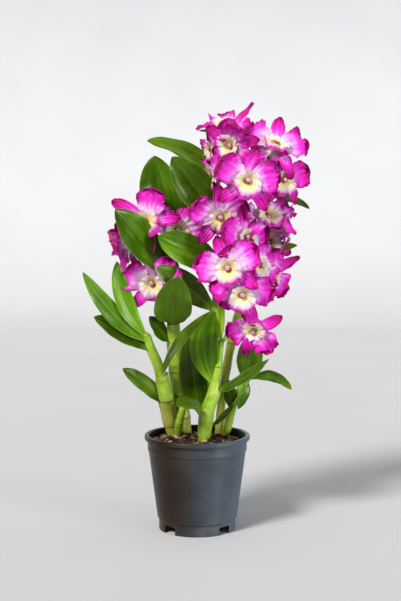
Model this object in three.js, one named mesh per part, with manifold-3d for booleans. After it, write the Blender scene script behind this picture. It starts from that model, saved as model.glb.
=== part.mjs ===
// A potted dendrobium orchid: canes in a round nursery pot, most of them leafy, three in bloom.
// Millimetres, +Z up. The origin is on the surface that the pot stands on, below the pot's axis,
// and -Y is the front. The blooms, leaves and canes are closed solids, fused where they grow together.
import * as THREE from "three";
import { mergeVertices } from "three/addons/utils/BufferGeometryUtils.js";
import Module from "manifold-3d";

const wasm = await Module();
wasm.setup();

// ---- Driving dimensions ----

const POT = {
  height: 108,
  rimRadius: 60, // outside of the rolled rim
  rimHeight: 5.5,
  wall: 1.6,
  bodyTopRadius: 56.5, // just under the rim
  shoulderDrop: 18, // from the rim's top to the stacking shoulder
  shoulderStep: 1,
  bodyFootRadius: 45.4,
  footHeight: 12,
  footRadius: 43.7,
  floorHeight: 9, // underside of the pot's floor
  segments: 28,
};
const DRAIN = { slots: 4, slotWidth: 16, slotHeight: 9, nickWidth: 5, nickHeight: 1.2 };
const SOIL = { level: 101, relief: 2.2, rings: 3, gap: 0.35 };
const CANE = { sides: 7, internode: 29, nodeSwell: 1.05, waist: 0.96 };
const LEAF = {
  thickness: 0.9,
  rows: 6,
  smallRows: 4, // of leaves narrower than small
  small: 22,
  base: 0.28,
  widest: 0.46,
  ease: 1.5, // how late the blade widens
  blunt: 2.3,
  tip: 0.05,
};
const TEPAL = { thickness: 0.8, rows: 3, rootRadius: 4.4, fold: 8, arch: 3, droop: 5 };
const PETAL = { length: 37, width: 33, base: 0.14, widest: 0.6, blunt: 2.7, tip: 0.45, layer: 1.5, wave: 2 };
const SEPAL = { length: 38, width: 15.5, base: 0.28, widest: 0.46, blunt: 1.9, tip: 0.3, layer: 0, wave: 0 };
// Counterclockwise as a bloom faces us: degrees clockwise from its top, form and share of its cup.
const TEPALS = [
  { angle: 0, shape: SEPAL, cup: 0.6 },
  { angle: -66, shape: PETAL, cup: 1 },
  { angle: -134, shape: SEPAL, cup: 0.6 },
  { angle: 134, shape: SEPAL, cup: 0.6 },
  { angle: 66, shape: PETAL, cup: 1 },
];
// The lip is a funnel round the column. Its section runs from its foot over its rim to its floor and up
// the column; rim is the share of the frill, and outwards and upwards say which way the surface looks.
const LIP = {
  sides: 7,
  section: [
    { radius: 2.9, height: 1.7, outwards: 1, upwards: -1 },
    { radius: 6.6, height: 7.2, outwards: 1, upwards: -1 },
    { radius: 15.3, height: 11.2, rim: 1, outwards: 1, upwards: -1 },
    { radius: 15.2, height: 12.1, rim: 1, outwards: 1, upwards: 1 },
    { radius: 5.6, height: 8.4, outwards: -1, upwards: 1 },
    { radius: 2.4, height: 4.2, outwards: -1, upwards: 1 },
    { radius: 1.5, height: 10.8, outwards: 1, upwards: 1 },
  ],
  lean: 0.16, // how far the rim sags from the bloom's middle, by radius
  frill: 0.7,
  tongue: 0.16, // how much farther the rim reaches below, by radius
  sag: 4, // how far the rim turns back there
  short: 0.12, // how much the rim falls short above, by radius
};
const PEDICEL = { radius: 1.4, sides: 4, steps: 2, bend: 16 };
const SLIVER = 0.15; // edges shorter than this, left by the cuts, are collapsed
const CONTACT = 0.35; // between a cane and the soil or the blooms that it carries
const PETAL_GAP = 0.5; // between the petals of neighbouring blooms

// Each cane: its axis from the soil up, and its radius at the foot, the middle and the top.
// Each leaf: height at which it leaves the cane, tip, bend (how far its middle bows), width, the way
// its upper face looks, fold along the midrib in degrees, and its base's share of the width where that
// isn't the usual one.
const CANES = {
  cane_left: {
    axis: [
      [-27, 30, 92],
      [-33, 26, 122],
      [-36, 20, 144],
      [-39, 15, 162],
      [-43, 10, 180],
      [-48, 8, 194],
      [-53, 8, 206],
      [-58, 8, 220],
    ],
    radii: [5.6, 7.2, 8.7, 8.2, 6.2, 4.8, 4.4],
    leaves: [
      { at: 212, tip: [-128, -10, 293], bend: [-3, 0, -8], width: 22, face: [0.3, -0.9, 0.3], fold: 14 },
      { at: 216, tip: [-90, -5, 305], bend: [-9, -2, 0], width: 22, face: [0.3, -1, 0.1], fold: 16 },
      { at: 200, tip: [-117, 0, 242], bend: [-3, 0, 4], width: 27, face: [0.1, -0.75, 0.65], fold: 14 },
      { at: 138, tip: [-85, -2, 183], bend: [2, -2, 2], width: 22, face: [0.2, -0.8, 0.6], fold: 12 },
      { at: 170, tip: [16, -35, 252], bend: [-12, -4, -2], width: 21, face: [-0.78, -0.48, 0.42], fold: 10 },
    ],
  },
  cane_short: {
    axis: [
      [-24, 18, 92],
      [-22, 17, 112],
      [-19, 17, 126],
      [-15, 19, 140],
    ],
    radii: [4.4, 4.9, 4.6, 4],
    leaves: [],
  },
  cane_thick: {
    axis: [
      [-12, 41, 92],
      [-19, 38, 135],
      [-23, 34, 177],
      [-26, 30, 207],
      [-28, 28, 236],
      [-29, 26, 271],
      [-28, 24, 305],
      [-26, 24, 340],
      [-22, 27, 372],
    ],
    radii: [7.4, 8.6, 10.4, 10, 7.4, 6.6, 6, 5.6, 5, 4],
    leaves: [
      { at: 226, tip: [-21, -28, 290], bend: [-3, -5, -3], width: 43, face: [0, 0.7, 0.7], fold: -6 },
      { at: 209, tip: [-55, 12, 241], bend: [-3, 0, 0], width: 25, face: [0.3, -0.7, 0.7], fold: 12 },
      {
        at: 292,
        tip: [-89, -42, 363],
        bend: [-2, -10, 0],
        width: 44,
        base: 0.5,
        face: [0.3, -0.85, 0.35],
        fold: 14,
      },
      { at: 331, tip: [-49, 8, 423], bend: [-2, -8, 0], width: 52, face: [0, -1, 0.1], fold: 22 },
    ],
  },
  cane_front: {
    axis: [
      [7, -4, 92],
      [9, -6, 119],
      [12, -6, 137],
      [18, -5, 154],
      [21, -4, 171],
      [23, -3, 182],
      [25, -2, 199],
      [27, -2, 216],
    ],
    radii: [6.4, 7.6, 7.4, 5.4, 3.9, 2.8],
    leaves: [
      { at: 166, tip: [20, -8, 249], bend: [-12, 2, 0], width: 34, face: [-0.2, -0.95, 0.1], fold: 12 },
      { at: 131, tip: [-22, -38, 146], bend: [0, -2, 8], width: 27, face: [0.2, -0.45, 0.85], fold: 12 },
      { at: 155, tip: [80, -25, 197], bend: [2, -2, -2], width: 19, face: [-0.58, -0.46, 0.67], fold: 10 },
      { at: 211, tip: [28, -8, 273], bend: [-1, -2, 0], width: 10, face: [0.2, -1, 0], fold: 18 },
      { at: 211, tip: [43, -4, 240], bend: [1, 0, -2], width: 7, face: [-0.5, -0.8, 0.3], fold: 14 },
    ],
  },
  cane_right: {
    axis: [
      [30, 30, 92],
      [37, 28, 119],
      [41, 26, 133],
      [47, 24, 149],
      [53, 22, 161],
      [58, 22, 171],
    ],
    radii: [5.2, 5.1, 4.4, 4, 4.4, 3.2],
    leaves: [
      { at: 165, tip: [107, 0, 159], bend: [2, -2, 11], width: 18, face: [-0.1, -0.5, 0.85], fold: 12 },
      { at: 163, tip: [63, 14, 223], bend: [2, 4, 0], width: 31, face: [0, -1, 0.1], fold: 16 },
      { at: 168, tip: [47, 16, 134], bend: [3, -2, 1], width: 13, face: [0.5, -0.85, 0.1], fold: 8 },
      { at: 142, tip: [17, 4, 117], bend: [0, -2, -3], width: 11, face: [-0.4, -0.5, 0.8], fold: 8 },
      { at: 131, tip: [36, 14, 168], bend: [0, -2, 0], width: 15, face: [0, -1, 0.1], fold: 8 },
    ],
  },
  cane_tall: {
    axis: [
      [5, 34, 92],
      [9, 36, 142],
      [14, 33, 189],
      [19, 29, 236],
      [25, 25, 282],
      [31, 22, 328],
      [38, 20, 374],
      [47, 20, 413],
      [53, 21, 443],
    ],
    radii: [5, 5.3, 5.2, 5, 4.6, 4.2, 3.2],
    leaves: [
      { at: 120, tip: [-8, 8, 222], bend: [-4, -4, 0], width: 32, face: [-0.15, -0.95, 0.1], fold: 12 },
      { at: 246, tip: [-45, -24, 299], bend: [0, -2, 4], width: 31, face: [0.05, -1, 0.3], fold: 14 },
      {
        at: 299,
        tip: [-43, -28, 334],
        bend: [-2, -9, 0],
        width: 40,
        base: 0.45,
        face: [0.05, -0.95, 0.3],
        fold: 20,
      },
      { at: 345, tip: [-28, -16, 421], bend: [-2, -8, 0], width: 46, face: [0.1, -1, 0.25], fold: 20 },
      { at: 385, tip: [-56, 4, 440], bend: [0, 0, 12], width: 32, face: [0, -0.65, 0.75], fold: 14 },
      { at: 428, tip: [56, 30, 468], bend: [3, 4, 0], width: 17, face: [-0.2, -1, 0], fold: 14 },
      { at: 436, tip: [2, 14, 452], bend: [0, 0, 4], width: 12, face: [0, -0.5, 0.85], fold: 12 },
    ],
  },
  cane_back: {
    axis: [
      [24, 38, 92],
      [29, 42, 140],
      [36, 42, 188],
      [46, 36, 235],
      [58, 30, 282],
      [67, 26, 328],
      [74, 24, 374],
      [81, 22, 413],
      [85, 22, 436],
    ],
    radii: [4.8, 5.2, 5.2, 5, 4.6, 4.2, 3.2],
    leaves: [
      { at: 378, tip: [127, 10, 364], bend: [0, 0, 6], width: 16, face: [0, -0.6, 0.8], fold: 12 },
      { at: 318, tip: [114, 14, 322], bend: [0, 0, 0], width: 17, face: [0, -0.7, 0.7], fold: 12 },
      { at: 322, tip: [106, 34, 343], bend: [2, 4, 0], width: 13, face: [-0.3, -0.8, 0.5], fold: 12 },
    ],
  },
};

// Each bloom: the cane and height that its pedicel leaves from, the middle of its face, the way it
// looks (azimuth from the front towards +X, elevation), its roll, the degrees that its petals reach
// forward and its size.
const BLOOMS = [
  { cane: "cane_thick", from: 340, at: [-56, 0, 349], look: [-8, 4], roll: 52, cup: 12, size: 1.05 },
  { cane: "cane_thick", from: 318, at: [-76, -6, 321], look: [-114, -8], roll: 0, cup: 13, size: 0.9 },
  { cane: "cane_thick", from: 258, at: [-49, 0, 280], look: [-14, -2], roll: 7, cup: 12, size: 1 },
  { cane: "cane_thick", from: 350, at: [-23, 8, 339], look: [8, 2], roll: -14, cup: 16, size: 0.95 },
  { cane: "cane_tall", from: 352, at: [2, 20, 351], look: [-24, 0], roll: 30, cup: 12, size: 0.84 },
  { cane: "cane_tall", from: 437, at: [31, 2, 453], look: [-5, 60], roll: -52, cup: 14, size: 0.88 },
  { cane: "cane_tall", from: 424, at: [38, -16, 434], look: [-22, -8], roll: -78, cup: 14, size: 0.92 },
  { cane: "cane_tall", from: 430, at: [19, 14, 432], look: [-64, -6], roll: 20, cup: 12, size: 0.74 },
  { cane: "cane_tall", from: 398, at: [53, -38.5, 393], look: [12, 6], roll: -8, cup: 14, size: 1.05 },
  { cane: "cane_back", from: 412, at: [70, 45.5, 404], look: [170, 8], roll: 0, cup: 14, size: 1.1 },
  { cane: "cane_tall", from: 390, at: [21, 4, 401], look: [-62, 0], roll: 0, cup: 15, size: 0.88 },
  { cane: "cane_tall", from: 362, at: [25, -6, 354], look: [6, -4], roll: 4, cup: 16, size: 0.98 },
  { cane: "cane_tall", from: 310, at: [35, -36, 298], look: [-12, 4], roll: 20, cup: 12, size: 1.04 },
  { cane: "cane_tall", from: 284, at: [49, -30, 269], look: [4, -4], roll: -10, cup: 12, size: 1 },
  { cane: "cane_back", from: 340, at: [50, -22, 332], look: [42, 2], roll: 0, cup: 14, size: 0.95 },
  { cane: "cane_back", from: 424, at: [85, -10, 430], look: [14, 34], roll: -24, cup: 13, size: 1.06 },
  { cane: "cane_back", from: 398, at: [93, -14, 395], look: [28, 0], roll: -4, cup: 14, size: 0.93 },
  { cane: "cane_back", from: 362, at: [79, -8, 352], look: [16, 46], roll: 0, cup: 13, size: 0.95 },
  { cane: "cane_back", from: 345, at: [96, 8, 339], look: [84, 0], roll: 10, cup: 12, size: 0.8 },
  { cane: "cane_back", from: 322, at: [80, 16, 324], look: [48, 26], roll: 20, cup: 14, size: 0.88 },
  { cane: "cane_back", from: 304, at: [66, -14, 300], look: [50, 4], roll: -62, cup: 14, size: 0.95 },
  { cane: "cane_back", from: 286, at: [80, 6, 288], look: [40, -6], roll: -60, cup: 14, size: 0.92 },
  { cane: "cane_back", from: 236, at: [64, -20, 231], look: [-10, -12], roll: 159, cup: 16, size: 0.9 },
];
// What sets single blooms apart, by number: how many degrees the lip nods up, and by index the tepals with
// a lift and a stretch of their own.
const OWN = {
  1: { nod: 14, apart: { 0: [4, 1.22] } },
  4: { nod: 10 },
  6: { apart: { 0: [22, 1.12] } },
  7: { apart: { 1: [16, 0.85] } },
  14: { apart: { 2: [-10, 0.7] } },
  16: { nod: 30, apart: { 0: [0, 1.08] } },
  22: { apart: { 0: [2, 1.25], 4: [12, 0.8] } },
  23: { nod: 18 },
};
BLOOMS.forEach((bloom, i) => Object.assign(bloom, { nod: 0, apart: {} }, OWN[i + 1]));

// ---- Closed solids from formulas ----

const radians = THREE.MathUtils.degToRad;
const lerp = THREE.MathUtils.lerp;

/** A closed three.js geometry as a manifold solid. */
function solidOf(geometry) {
  geometry.deleteAttribute("normal");
  geometry.deleteAttribute("uv");
  const merged = mergeVertices(geometry, 1e-4);
  return new wasm.Manifold(
    new wasm.Mesh({
      numProp: 3,
      vertProperties: new Float32Array(merged.attributes.position.array),
      triVerts: new Uint32Array(merged.index.array),
    }),
  );
}

/** The one body that matters: loose scraps are left out, and the slivers that the cuts made. */
function mainBody(solid) {
  const bodies = solid.simplify(SLIVER).decompose();
  return bodies.reduce((best, body) => (body.volume() > best.volume() ? body : best));
}

function geometryOf(solid) {
  const { numProp, numVert, vertProperties, triVerts } = solid.getMesh();
  const points = new Float32Array(numVert * 3);
  for (let i = 0; i < numVert; i++) {
    points.set(vertProperties.subarray(i * numProp, i * numProp + 3), i * 3);
  }
  const geometry = new THREE.BufferGeometry();
  geometry.setAttribute("position", new THREE.BufferAttribute(points, 3));
  geometry.setIndex(new THREE.BufferAttribute(triVerts, 1));
  geometry.computeVertexNormals();
  return geometry;
}

/** One closed surface, sewn together from loops and sheets. Loops run counterclockwise from above. */
class Skin {
  points = [];
  index = [];

  loop(places) {
    return places.map((place) => this.points.push(place) - 1);
  }

  quad(a, b, c, d) {
    this.index.push(a, b, c, a, c, d);
  }

  /** The wall from a lower loop to an upper one with as many points. */
  band(lower, upper) {
    lower.forEach((a, k) => {
      const next = (k + 1) % lower.length;
      this.quad(a, lower[next], upper[next], upper[k]);
    });
  }

  /** The wall between loops of unlike counts round +Z: whichever loop lags behind takes the next step. */
  zip(lower, upper) {
    const turnOf = (i) => Math.atan2(this.points[i].y, this.points[i].x);
    const start = turnOf(lower[0]);
    const lag = (i) => (turnOf(i) - start + 4 * Math.PI) % (2 * Math.PI);
    const ordered = [...upper].sort((a, b) => lag(a) - lag(b));
    const [low, high] = [[...lower, lower[0]], [...ordered, ordered[0]]];
    for (let i = 0, j = 0; i < lower.length || j < upper.length; ) {
      const nextLow = i + 1 < lower.length ? lag(low[i + 1]) : 2 * Math.PI + (i < lower.length ? 0 : 9);
      const nextHigh = j + 1 < upper.length ? lag(high[j + 1]) : 2 * Math.PI + (j < upper.length ? 0.1 : 9);
      if (nextLow <= nextHigh) {
        this.index.push(low[i], low[i + 1], high[j]);
        i++;
      } else {
        this.index.push(low[i], high[j + 1], high[j]);
        j++;
      }
    }
  }

  /** Closes a loop with a fan that faces up, or down. */
  cap(loop, faceUp) {
    for (let k = 1; k < loop.length - 1; k++) {
      const [b, c] = faceUp ? [loop[k], loop[k + 1]] : [loop[k + 1], loop[k]];
      this.index.push(loop[0], b, c);
    }
  }

  /**
   * A thin sheet: point(u, v) for u from 0 to 1 and v from -1 to 1, thickened both ways. It stays open at
   * its root, u = 0, and gives back the root's two edges, from v = -1 to v = 1.
   */
  sheet(point, rows, columns, thickness) {
    const grid = Array.from({ length: rows + 1 }, (_, i) =>
      Array.from({ length: columns + 1 }, (_, j) => point(i / rows, (2 * j) / columns - 1)),
    );
    const [front, back] = [0.5, -0.5].map((side) =>
      grid.map((row, i) =>
        this.loop(
          row.map((place, j) => {
            const along = grid[Math.min(i + 1, rows)][j].clone().sub(grid[Math.max(i - 1, 0)][j]);
            const over = row[Math.min(j + 1, columns)].clone().sub(row[Math.max(j - 1, 0)]);
            const normal = over.cross(along).normalize();
            return place.clone().addScaledVector(normal, side * thickness);
          }),
        ),
      ),
    );
    for (let i = 0; i < rows; i++) {
      for (let j = 0; j < columns; j++) {
        this.quad(front[i][j], front[i][j + 1], front[i + 1][j + 1], front[i + 1][j]);
        const [a, b, c, d] = [back[i][j], back[i][j + 1], back[i + 1][j + 1], back[i + 1][j]];
        this.index.push(a, c, b, a, d, c);
      }
      this.quad(front[i][columns], back[i][columns], back[i + 1][columns], front[i + 1][columns]);
      this.quad(front[i + 1][0], back[i + 1][0], back[i][0], front[i][0]);
    }
    for (let j = 0; j < columns; j++) {
      this.quad(front[rows][j + 1], back[rows][j + 1], back[rows][j], front[rows][j]);
    }
    return { front: front[0], back: back[0] };
  }

  geometry() {
    const geometry = new THREE.BufferGeometry().setFromPoints(this.points);
    return geometry.setIndex(this.index);
  }
}

/** A sheet closed at its root too. */
function closedSheet(point, rows, columns, thickness) {
  const skin = new Skin();
  const { front, back } = skin.sheet(point, rows, columns, thickness);
  for (let j = 0; j < columns; j++) skin.quad(front[j], back[j], back[j + 1], front[j + 1]);
  return skin.geometry();
}

/** Half-width along a blade: rises from a narrow base to its widest point, then rounds to its tip. */
function outline({ width, base, widest, blunt, tip, ease = 1 }, u) {
  const share = THREE.MathUtils.clamp(u, 0, 1);
  if (share < widest) {
    return (width / 2) * lerp(base, 1, Math.sin(((share / widest) * Math.PI) / 2) ** ease);
  }
  const past = (share - widest) / (1 - widest);
  return (width / 2) * Math.max(tip, (1 - past ** blunt) ** 0.75);
}

/** The surface of a leaf, petal or sepal along a curve: folded on its midrib, waved at its edges. */
function bladeSurface({ curve, shape, face, fold, rows, grow = 0 }) {
  const towards = new THREE.Vector3(...face).normalize();
  const beyond = grow / curve.getLength();
  const wave = shape.wave ?? 0;
  return (u, v) => {
    const along = lerp(-beyond, 1 + beyond, u);
    const tangent = curve.getTangent(THREE.MathUtils.clamp(along, 0, 1));
    const side = tangent.clone().cross(towards).normalize();
    const up = side.clone().cross(tangent);
    const half = outline(shape, along) + grow;
    const ripple = wave * v * v * u * Math.cos(Math.PI * rows * u);
    return curve
      .getPoint(along)
      .addScaledVector(side, v * half * Math.cos(radians(fold)))
      .addScaledVector(up, Math.abs(v) * half * Math.sin(radians(fold)) + ripple);
  };
}

/** The loop round a curve at a share of its length. */
function ringAround(curve, u, radius, sides) {
  const tangent = curve.getTangentAt(u);
  const reference = Math.abs(tangent.y) < 0.9 ? new THREE.Vector3(0, 1, 0) : new THREE.Vector3(1, 0, 0);
  const side = reference.clone().cross(tangent).normalize();
  const other = tangent.clone().cross(side);
  const centre = curve.getPointAt(u);
  return Array.from({ length: sides }, (_, k) => {
    const turn = (2 * Math.PI * k) / sides;
    const place = centre.clone().addScaledVector(side, radius * Math.cos(turn));
    return place.addScaledVector(other, radius * Math.sin(turn));
  });
}

/** A closed tube along a curve, with a radius for each ring. */
function tube(curve, radiusAt, rings, sides) {
  const skin = new Skin();
  const loops = [];
  for (let i = 0; i <= rings; i++) {
    loops.push(skin.loop(ringAround(curve, i / rings, radiusAt(i / rings), sides)));
  }
  for (let i = 0; i < rings; i++) skin.band(loops[i], loops[i + 1]);
  skin.cap(loops[0], false);
  skin.cap(loops[rings], true);
  return skin.geometry();
}

// ---- Pot and soil ----

function potSolid() {
  const p = POT;
  const foot = p.footRadius;
  const shoulder = p.height - p.shoulderDrop;
  const under = p.height - p.rimHeight;
  const outside = [
    [foot, 0],
    [foot, p.footHeight],
    [p.bodyFootRadius, p.footHeight + 1.5],
    [p.bodyTopRadius - p.shoulderStep, shoulder],
    [p.bodyTopRadius, shoulder + 1],
    [p.bodyTopRadius, under],
    [p.rimRadius, under],
    [p.rimRadius, p.height - 1.5],
    [p.rimRadius - 1.5, p.height],
  ];
  const inside = [
    [p.bodyTopRadius - p.wall, p.height],
    [p.bodyTopRadius - p.wall, shoulder + 1],
    [foot - p.wall + 0.6, p.floorHeight + p.wall],
    [0, p.floorHeight + p.wall],
    [0, p.floorHeight],
    [foot - p.wall, p.floorHeight],
    [foot - p.wall, 0],
  ];
  const profile = [...outside, ...inside, outside[0]].map(([r, z]) => new THREE.Vector2(r, z));
  const lathe = new THREE.LatheGeometry(profile, p.segments).rotateX(Math.PI / 2);
  let solid = solidOf(lathe);
  for (let k = 0; k < 2 * DRAIN.slots; k++) {
    const large = k % 2 === 1;
    const width = large ? DRAIN.slotWidth : DRAIN.nickWidth;
    const height = large ? DRAIN.slotHeight : DRAIN.nickHeight;
    const cutter = new THREE.BoxGeometry(10, width, 2 * height);
    cutter.translate(foot, 0, 0).rotateZ((Math.PI * k) / DRAIN.slots - Math.PI / 2);
    solid = solid.subtract(solidOf(cutter));
  }
  return solid;
}

/** Coarse bark: bumps of two sizes, the same each time. */
function barkRelief(x, y) {
  const coarse = Math.sin(x * 0.41 + 1.3) * Math.cos(y * 0.37 - 0.6);
  const fine = Math.sin(x * 0.93 - y * 0.71) * Math.cos(y * 1.03 + x * 0.29);
  return SOIL.relief * (0.6 * coarse + 0.5 * fine);
}

function soilSolid(stems) {
  const topRadius = POT.bodyTopRadius - POT.wall - SOIL.gap;
  const floor = POT.floorHeight + POT.wall + SOIL.gap;
  const footRadius = POT.footRadius - POT.wall + 0.6 - SOIL.gap;
  const shoulder = POT.height - POT.shoulderDrop + 1 + SOIL.gap;
  const profile = [
    [0, floor],
    [footRadius, floor],
    [topRadius, shoulder],
    [topRadius, SOIL.level],
  ];
  for (let k = SOIL.rings - 1; k >= 0; k--) profile.push([(topRadius * k) / SOIL.rings, SOIL.level]);
  const points = profile.map(([r, z]) => new THREE.Vector2(r, z));
  const geometry = new THREE.LatheGeometry(points, POT.segments).rotateX(Math.PI / 2);
  const position = geometry.attributes.position;
  for (let i = 0; i < position.count; i++) {
    if (position.getZ(i) < SOIL.level - 1e-3) continue;
    const [x, y] = [position.getX(i), position.getY(i)];
    const inland = 1 - (Math.hypot(x, y) / topRadius) ** 6;
    position.setZ(i, SOIL.level + barkRelief(x, y) * inland);
  }
  return mainBody(solidOf(geometry).subtract(stems));
}

// ---- Leafy canes ----

const caneCurves = Object.fromEntries(
  Object.entries(CANES).map(([name, { axis }]) => [
    name,
    new THREE.CatmullRomCurve3(axis.map((p) => new THREE.Vector3(...p))),
  ]),
);

/** The point on a cane's axis at a height. */
function pointAtHeight(name, height) {
  const curve = caneCurves[name];
  let [low, high] = [0, 1];
  for (let k = 0; k < 30; k++) {
    const middle = (low + high) / 2;
    if (curve.getPoint(middle).z < height) low = middle;
    else high = middle;
  }
  return curve.getPoint(low);
}

function caneSolid(name, grow = 0) {
  const { radii } = CANES[name];
  const curve = caneCurves[name];
  const length = curve.getLength();
  const nodes = Math.round(length / CANE.internode);
  const radiusAt = (u) => {
    const place = u * (radii.length - 1);
    const k = Math.min(Math.floor(place), radii.length - 2);
    const taper = lerp(radii[k], radii[k + 1], place - k);
    const nearness = Math.abs(Math.cos(Math.PI * u * nodes)) ** 3;
    return taper * lerp(CANE.waist, CANE.nodeSwell, nearness) + grow;
  };
  return solidOf(tube(curve, radiusAt, 2 * nodes, CANE.sides));
}

function leafSolid(name, leaf, grow = 0) {
  const base = pointAtHeight(name, leaf.at);
  const tip = new THREE.Vector3(...leaf.tip);
  const middle = base.clone().lerp(tip, 0.5).addScaledVector(new THREE.Vector3(...leaf.bend), 2);
  const curve = new THREE.QuadraticBezierCurve3(base, middle, tip);
  const shape = { ...LEAF, width: leaf.width, base: leaf.base ?? LEAF.base };
  const rows = leaf.width < LEAF.small ? LEAF.smallRows : LEAF.rows;
  const surface = bladeSurface({ curve, shape, face: leaf.face, fold: leaf.fold, rows, grow });
  return solidOf(closedSheet(surface, rows, 2, LEAF.thickness + 2 * grow));
}

function leafyCane(name, grow = 0) {
  const leaves = CANES[name].leaves.map((leaf) => leafSolid(name, leaf, grow));
  return wasm.Manifold.union([caneSolid(name, grow), ...leaves]);
}

// ---- Blooms ----

/** The frame of a bloom's face: +X to its right, +Y towards its upper sepal, +Z out of it. */
function bloomFrame({ at, look, roll, size }) {
  const [azimuth, elevation] = look.map(radians);
  const out = new THREE.Vector3(
    Math.sin(azimuth) * Math.cos(elevation),
    -Math.cos(azimuth) * Math.cos(elevation),
    Math.sin(elevation),
  );
  const up = new THREE.Vector3(0, 0, 1).addScaledVector(out, -out.z).normalize();
  up.applyAxisAngle(out, radians(roll));
  const right = up.clone().cross(out);
  return new THREE.Matrix4()
    .makeBasis(right, up, out)
    .scale(new THREE.Vector3(size, size, size))
    .setPosition(...at);
}

/** The surface of a petal or sepal, leaving the bloom's hub at its angle. */
function tepalSurface(index, bloom, grow = 0) {
  const { angle, shape, cup } = TEPALS[index];
  const [ownLift, stretch] = bloom.apart[index] ?? [0, 1];
  const length = shape.length * stretch;
  const turn = radians(angle);
  const rise = radians(cup * bloom.cup);
  const reach = (distance, lift) =>
    new THREE.Vector3(
      distance * Math.sin(turn) * Math.cos(rise),
      distance * Math.cos(turn) * Math.cos(rise),
      (distance - TEPAL.rootRadius) * Math.sin(rise) + shape.layer + lift,
    );
  const curve = new THREE.QuadraticBezierCurve3(
    reach(TEPAL.rootRadius, 0),
    reach(length * 0.55, TEPAL.arch),
    reach(length, ownLift - TEPAL.droop),
  );
  return bladeSurface({ curve, shape, face: [0, 0, 1], fold: TEPAL.fold, rows: TEPAL.rows, grow });
}

/** The lip's loops and the column's, from the lip's foot to the column's top. */
function lipLoops(bloom, grow = 0) {
  const foot = new THREE.Vector3(0, 0, LIP.section[0].height);
  const across = new THREE.Vector3(1, 0, 0);
  return LIP.section.map(({ radius, height, rim = 0, outwards, upwards }, row) =>
    Array.from({ length: LIP.sides }, (_, k) => {
      const turn = (2 * Math.PI * k) / LIP.sides;
      const below = (1 - Math.cos(turn)) / 2;
      const reach = 1 + rim * (LIP.tongue * below ** 4 - LIP.short * (1 - below) ** 2);
      const spread = radius * reach + grow * outwards;
      const frill = LIP.frill * Math.cos(3 * turn) - LIP.sag * below ** 4;
      const place = new THREE.Vector3(
        -spread * Math.sin(turn),
        spread * Math.cos(turn) - LIP.lean * rim * radius,
        height + rim * frill + grow * upwards,
      );
      return row === 0 ? place : place.sub(foot).applyAxisAngle(across, -radians(bloom.nod)).add(foot);
    }),
  );
}

/** The curve of a bloom's pedicel in the bloom's frame, from inside its cane to the bloom's back. */
function pedicelCurve(bloom) {
  const end = pointAtHeight(bloom.cane, bloom.from).applyMatrix4(bloomFrame(bloom).invert());
  return new THREE.QuadraticBezierCurve3(
    end,
    new THREE.Vector3(0, 0, -PEDICEL.bend),
    new THREE.Vector3(0, 0, -PEDICEL.radius),
  );
}

/** A whole bloom as one closed surface: pedicel, back of the hub, petals and sepals, lip and column. */
function bloomSolid(bloom) {
  const skin = new Skin();
  const roots = TEPALS.map((_, index) =>
    skin.sheet(tepalSurface(index, bloom), TEPAL.rows, 2, TEPAL.thickness),
  );
  roots.forEach(({ front, back }, k) => {
    const next = roots[(k + 1) % roots.length];
    skin.quad(back[0], next.back[2], next.front[2], front[0]);
  });
  const frontLoop = roots.flatMap(({ front }) => front.toReversed());
  const backLoop = roots.flatMap(({ back }) => back.toReversed());
  const curve = pedicelCurve(bloom);
  const stalk = [];
  for (let i = 0; i <= PEDICEL.steps; i++) {
    stalk.push(skin.loop(ringAround(curve, i / PEDICEL.steps, PEDICEL.radius, PEDICEL.sides)));
  }
  skin.cap(stalk[0], false);
  for (let i = 0; i < PEDICEL.steps; i++) skin.band(stalk[i], stalk[i + 1]);
  skin.zip(stalk.at(-1), backLoop);
  const lip = lipLoops(bloom).map((places) => skin.loop(places));
  skin.zip(frontLoop, lip[0]);
  for (let i = 1; i < lip.length; i++) skin.band(lip[i - 1], lip[i]);
  skin.cap(lip.at(-1), true);
  return solidOf(skin.geometry().applyMatrix4(bloomFrame(bloom)));
}

/** The room that a bloom's pedicel and hub need. */
function coreRoom(bloom) {
  const pedicel = tube(pedicelCurve(bloom), () => PEDICEL.radius + PETAL_GAP, PEDICEL.steps, PEDICEL.sides);
  const axis = new THREE.LineCurve3(new THREE.Vector3(0, 0, -1.8), new THREE.Vector3(0, 0, 4));
  const hub = tube(axis, () => TEPAL.rootRadius + 1, 1, 6);
  return wasm.Manifold.union([pedicel, hub].map((part) => solidOf(part.applyMatrix4(bloomFrame(bloom)))));
}

/** The room that a whole bloom needs. */
function bloomRoom(bloom) {
  const lip = new Skin();
  const loops = lipLoops(bloom, PETAL_GAP).map((places) => lip.loop(places));
  for (let i = 1; i < loops.length; i++) lip.band(loops[i - 1], loops[i]);
  lip.cap(loops[0], false);
  lip.cap(loops.at(-1), true);
  const sheets = TEPALS.map((_, index) => {
    const surface = tepalSurface(index, bloom, PETAL_GAP);
    return closedSheet(surface, TEPAL.rows, 2, TEPAL.thickness + 2 * PETAL_GAP);
  });
  const organs = [lip.geometry(), ...sheets].map((organ) => solidOf(organ.applyMatrix4(bloomFrame(bloom))));
  return wasm.Manifold.union([coreRoom(bloom), ...organs]);
}

/** Every bloom, each stopping short of the canes, of the others' hubs and of the blooms before it. */
function bloomSolids(roomForCanes) {
  const cores = BLOOMS.map(coreRoom);
  let taken = roomForCanes;
  return BLOOMS.map((bloom, i) => {
    const later = wasm.Manifold.union([...cores.slice(i + 1), taken]);
    taken = taken.add(bloomRoom(bloom));
    return mainBody(bloomSolid(bloom).subtract(later));
  });
}

// ---- The plant ----

const finish = (color, roughness) => new THREE.MeshStandardMaterial({ color, roughness, metalness: 0 });
const materials = {
  pot: finish(0x34373b, 0.55),
  soil: finish(0x3a2a20, 0.95),
  cane: finish(0x6f9a2c, 0.5),
  bloom: finish(0xcf2fb4, 0.6),
};

const orchid = new THREE.Group();

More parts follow.
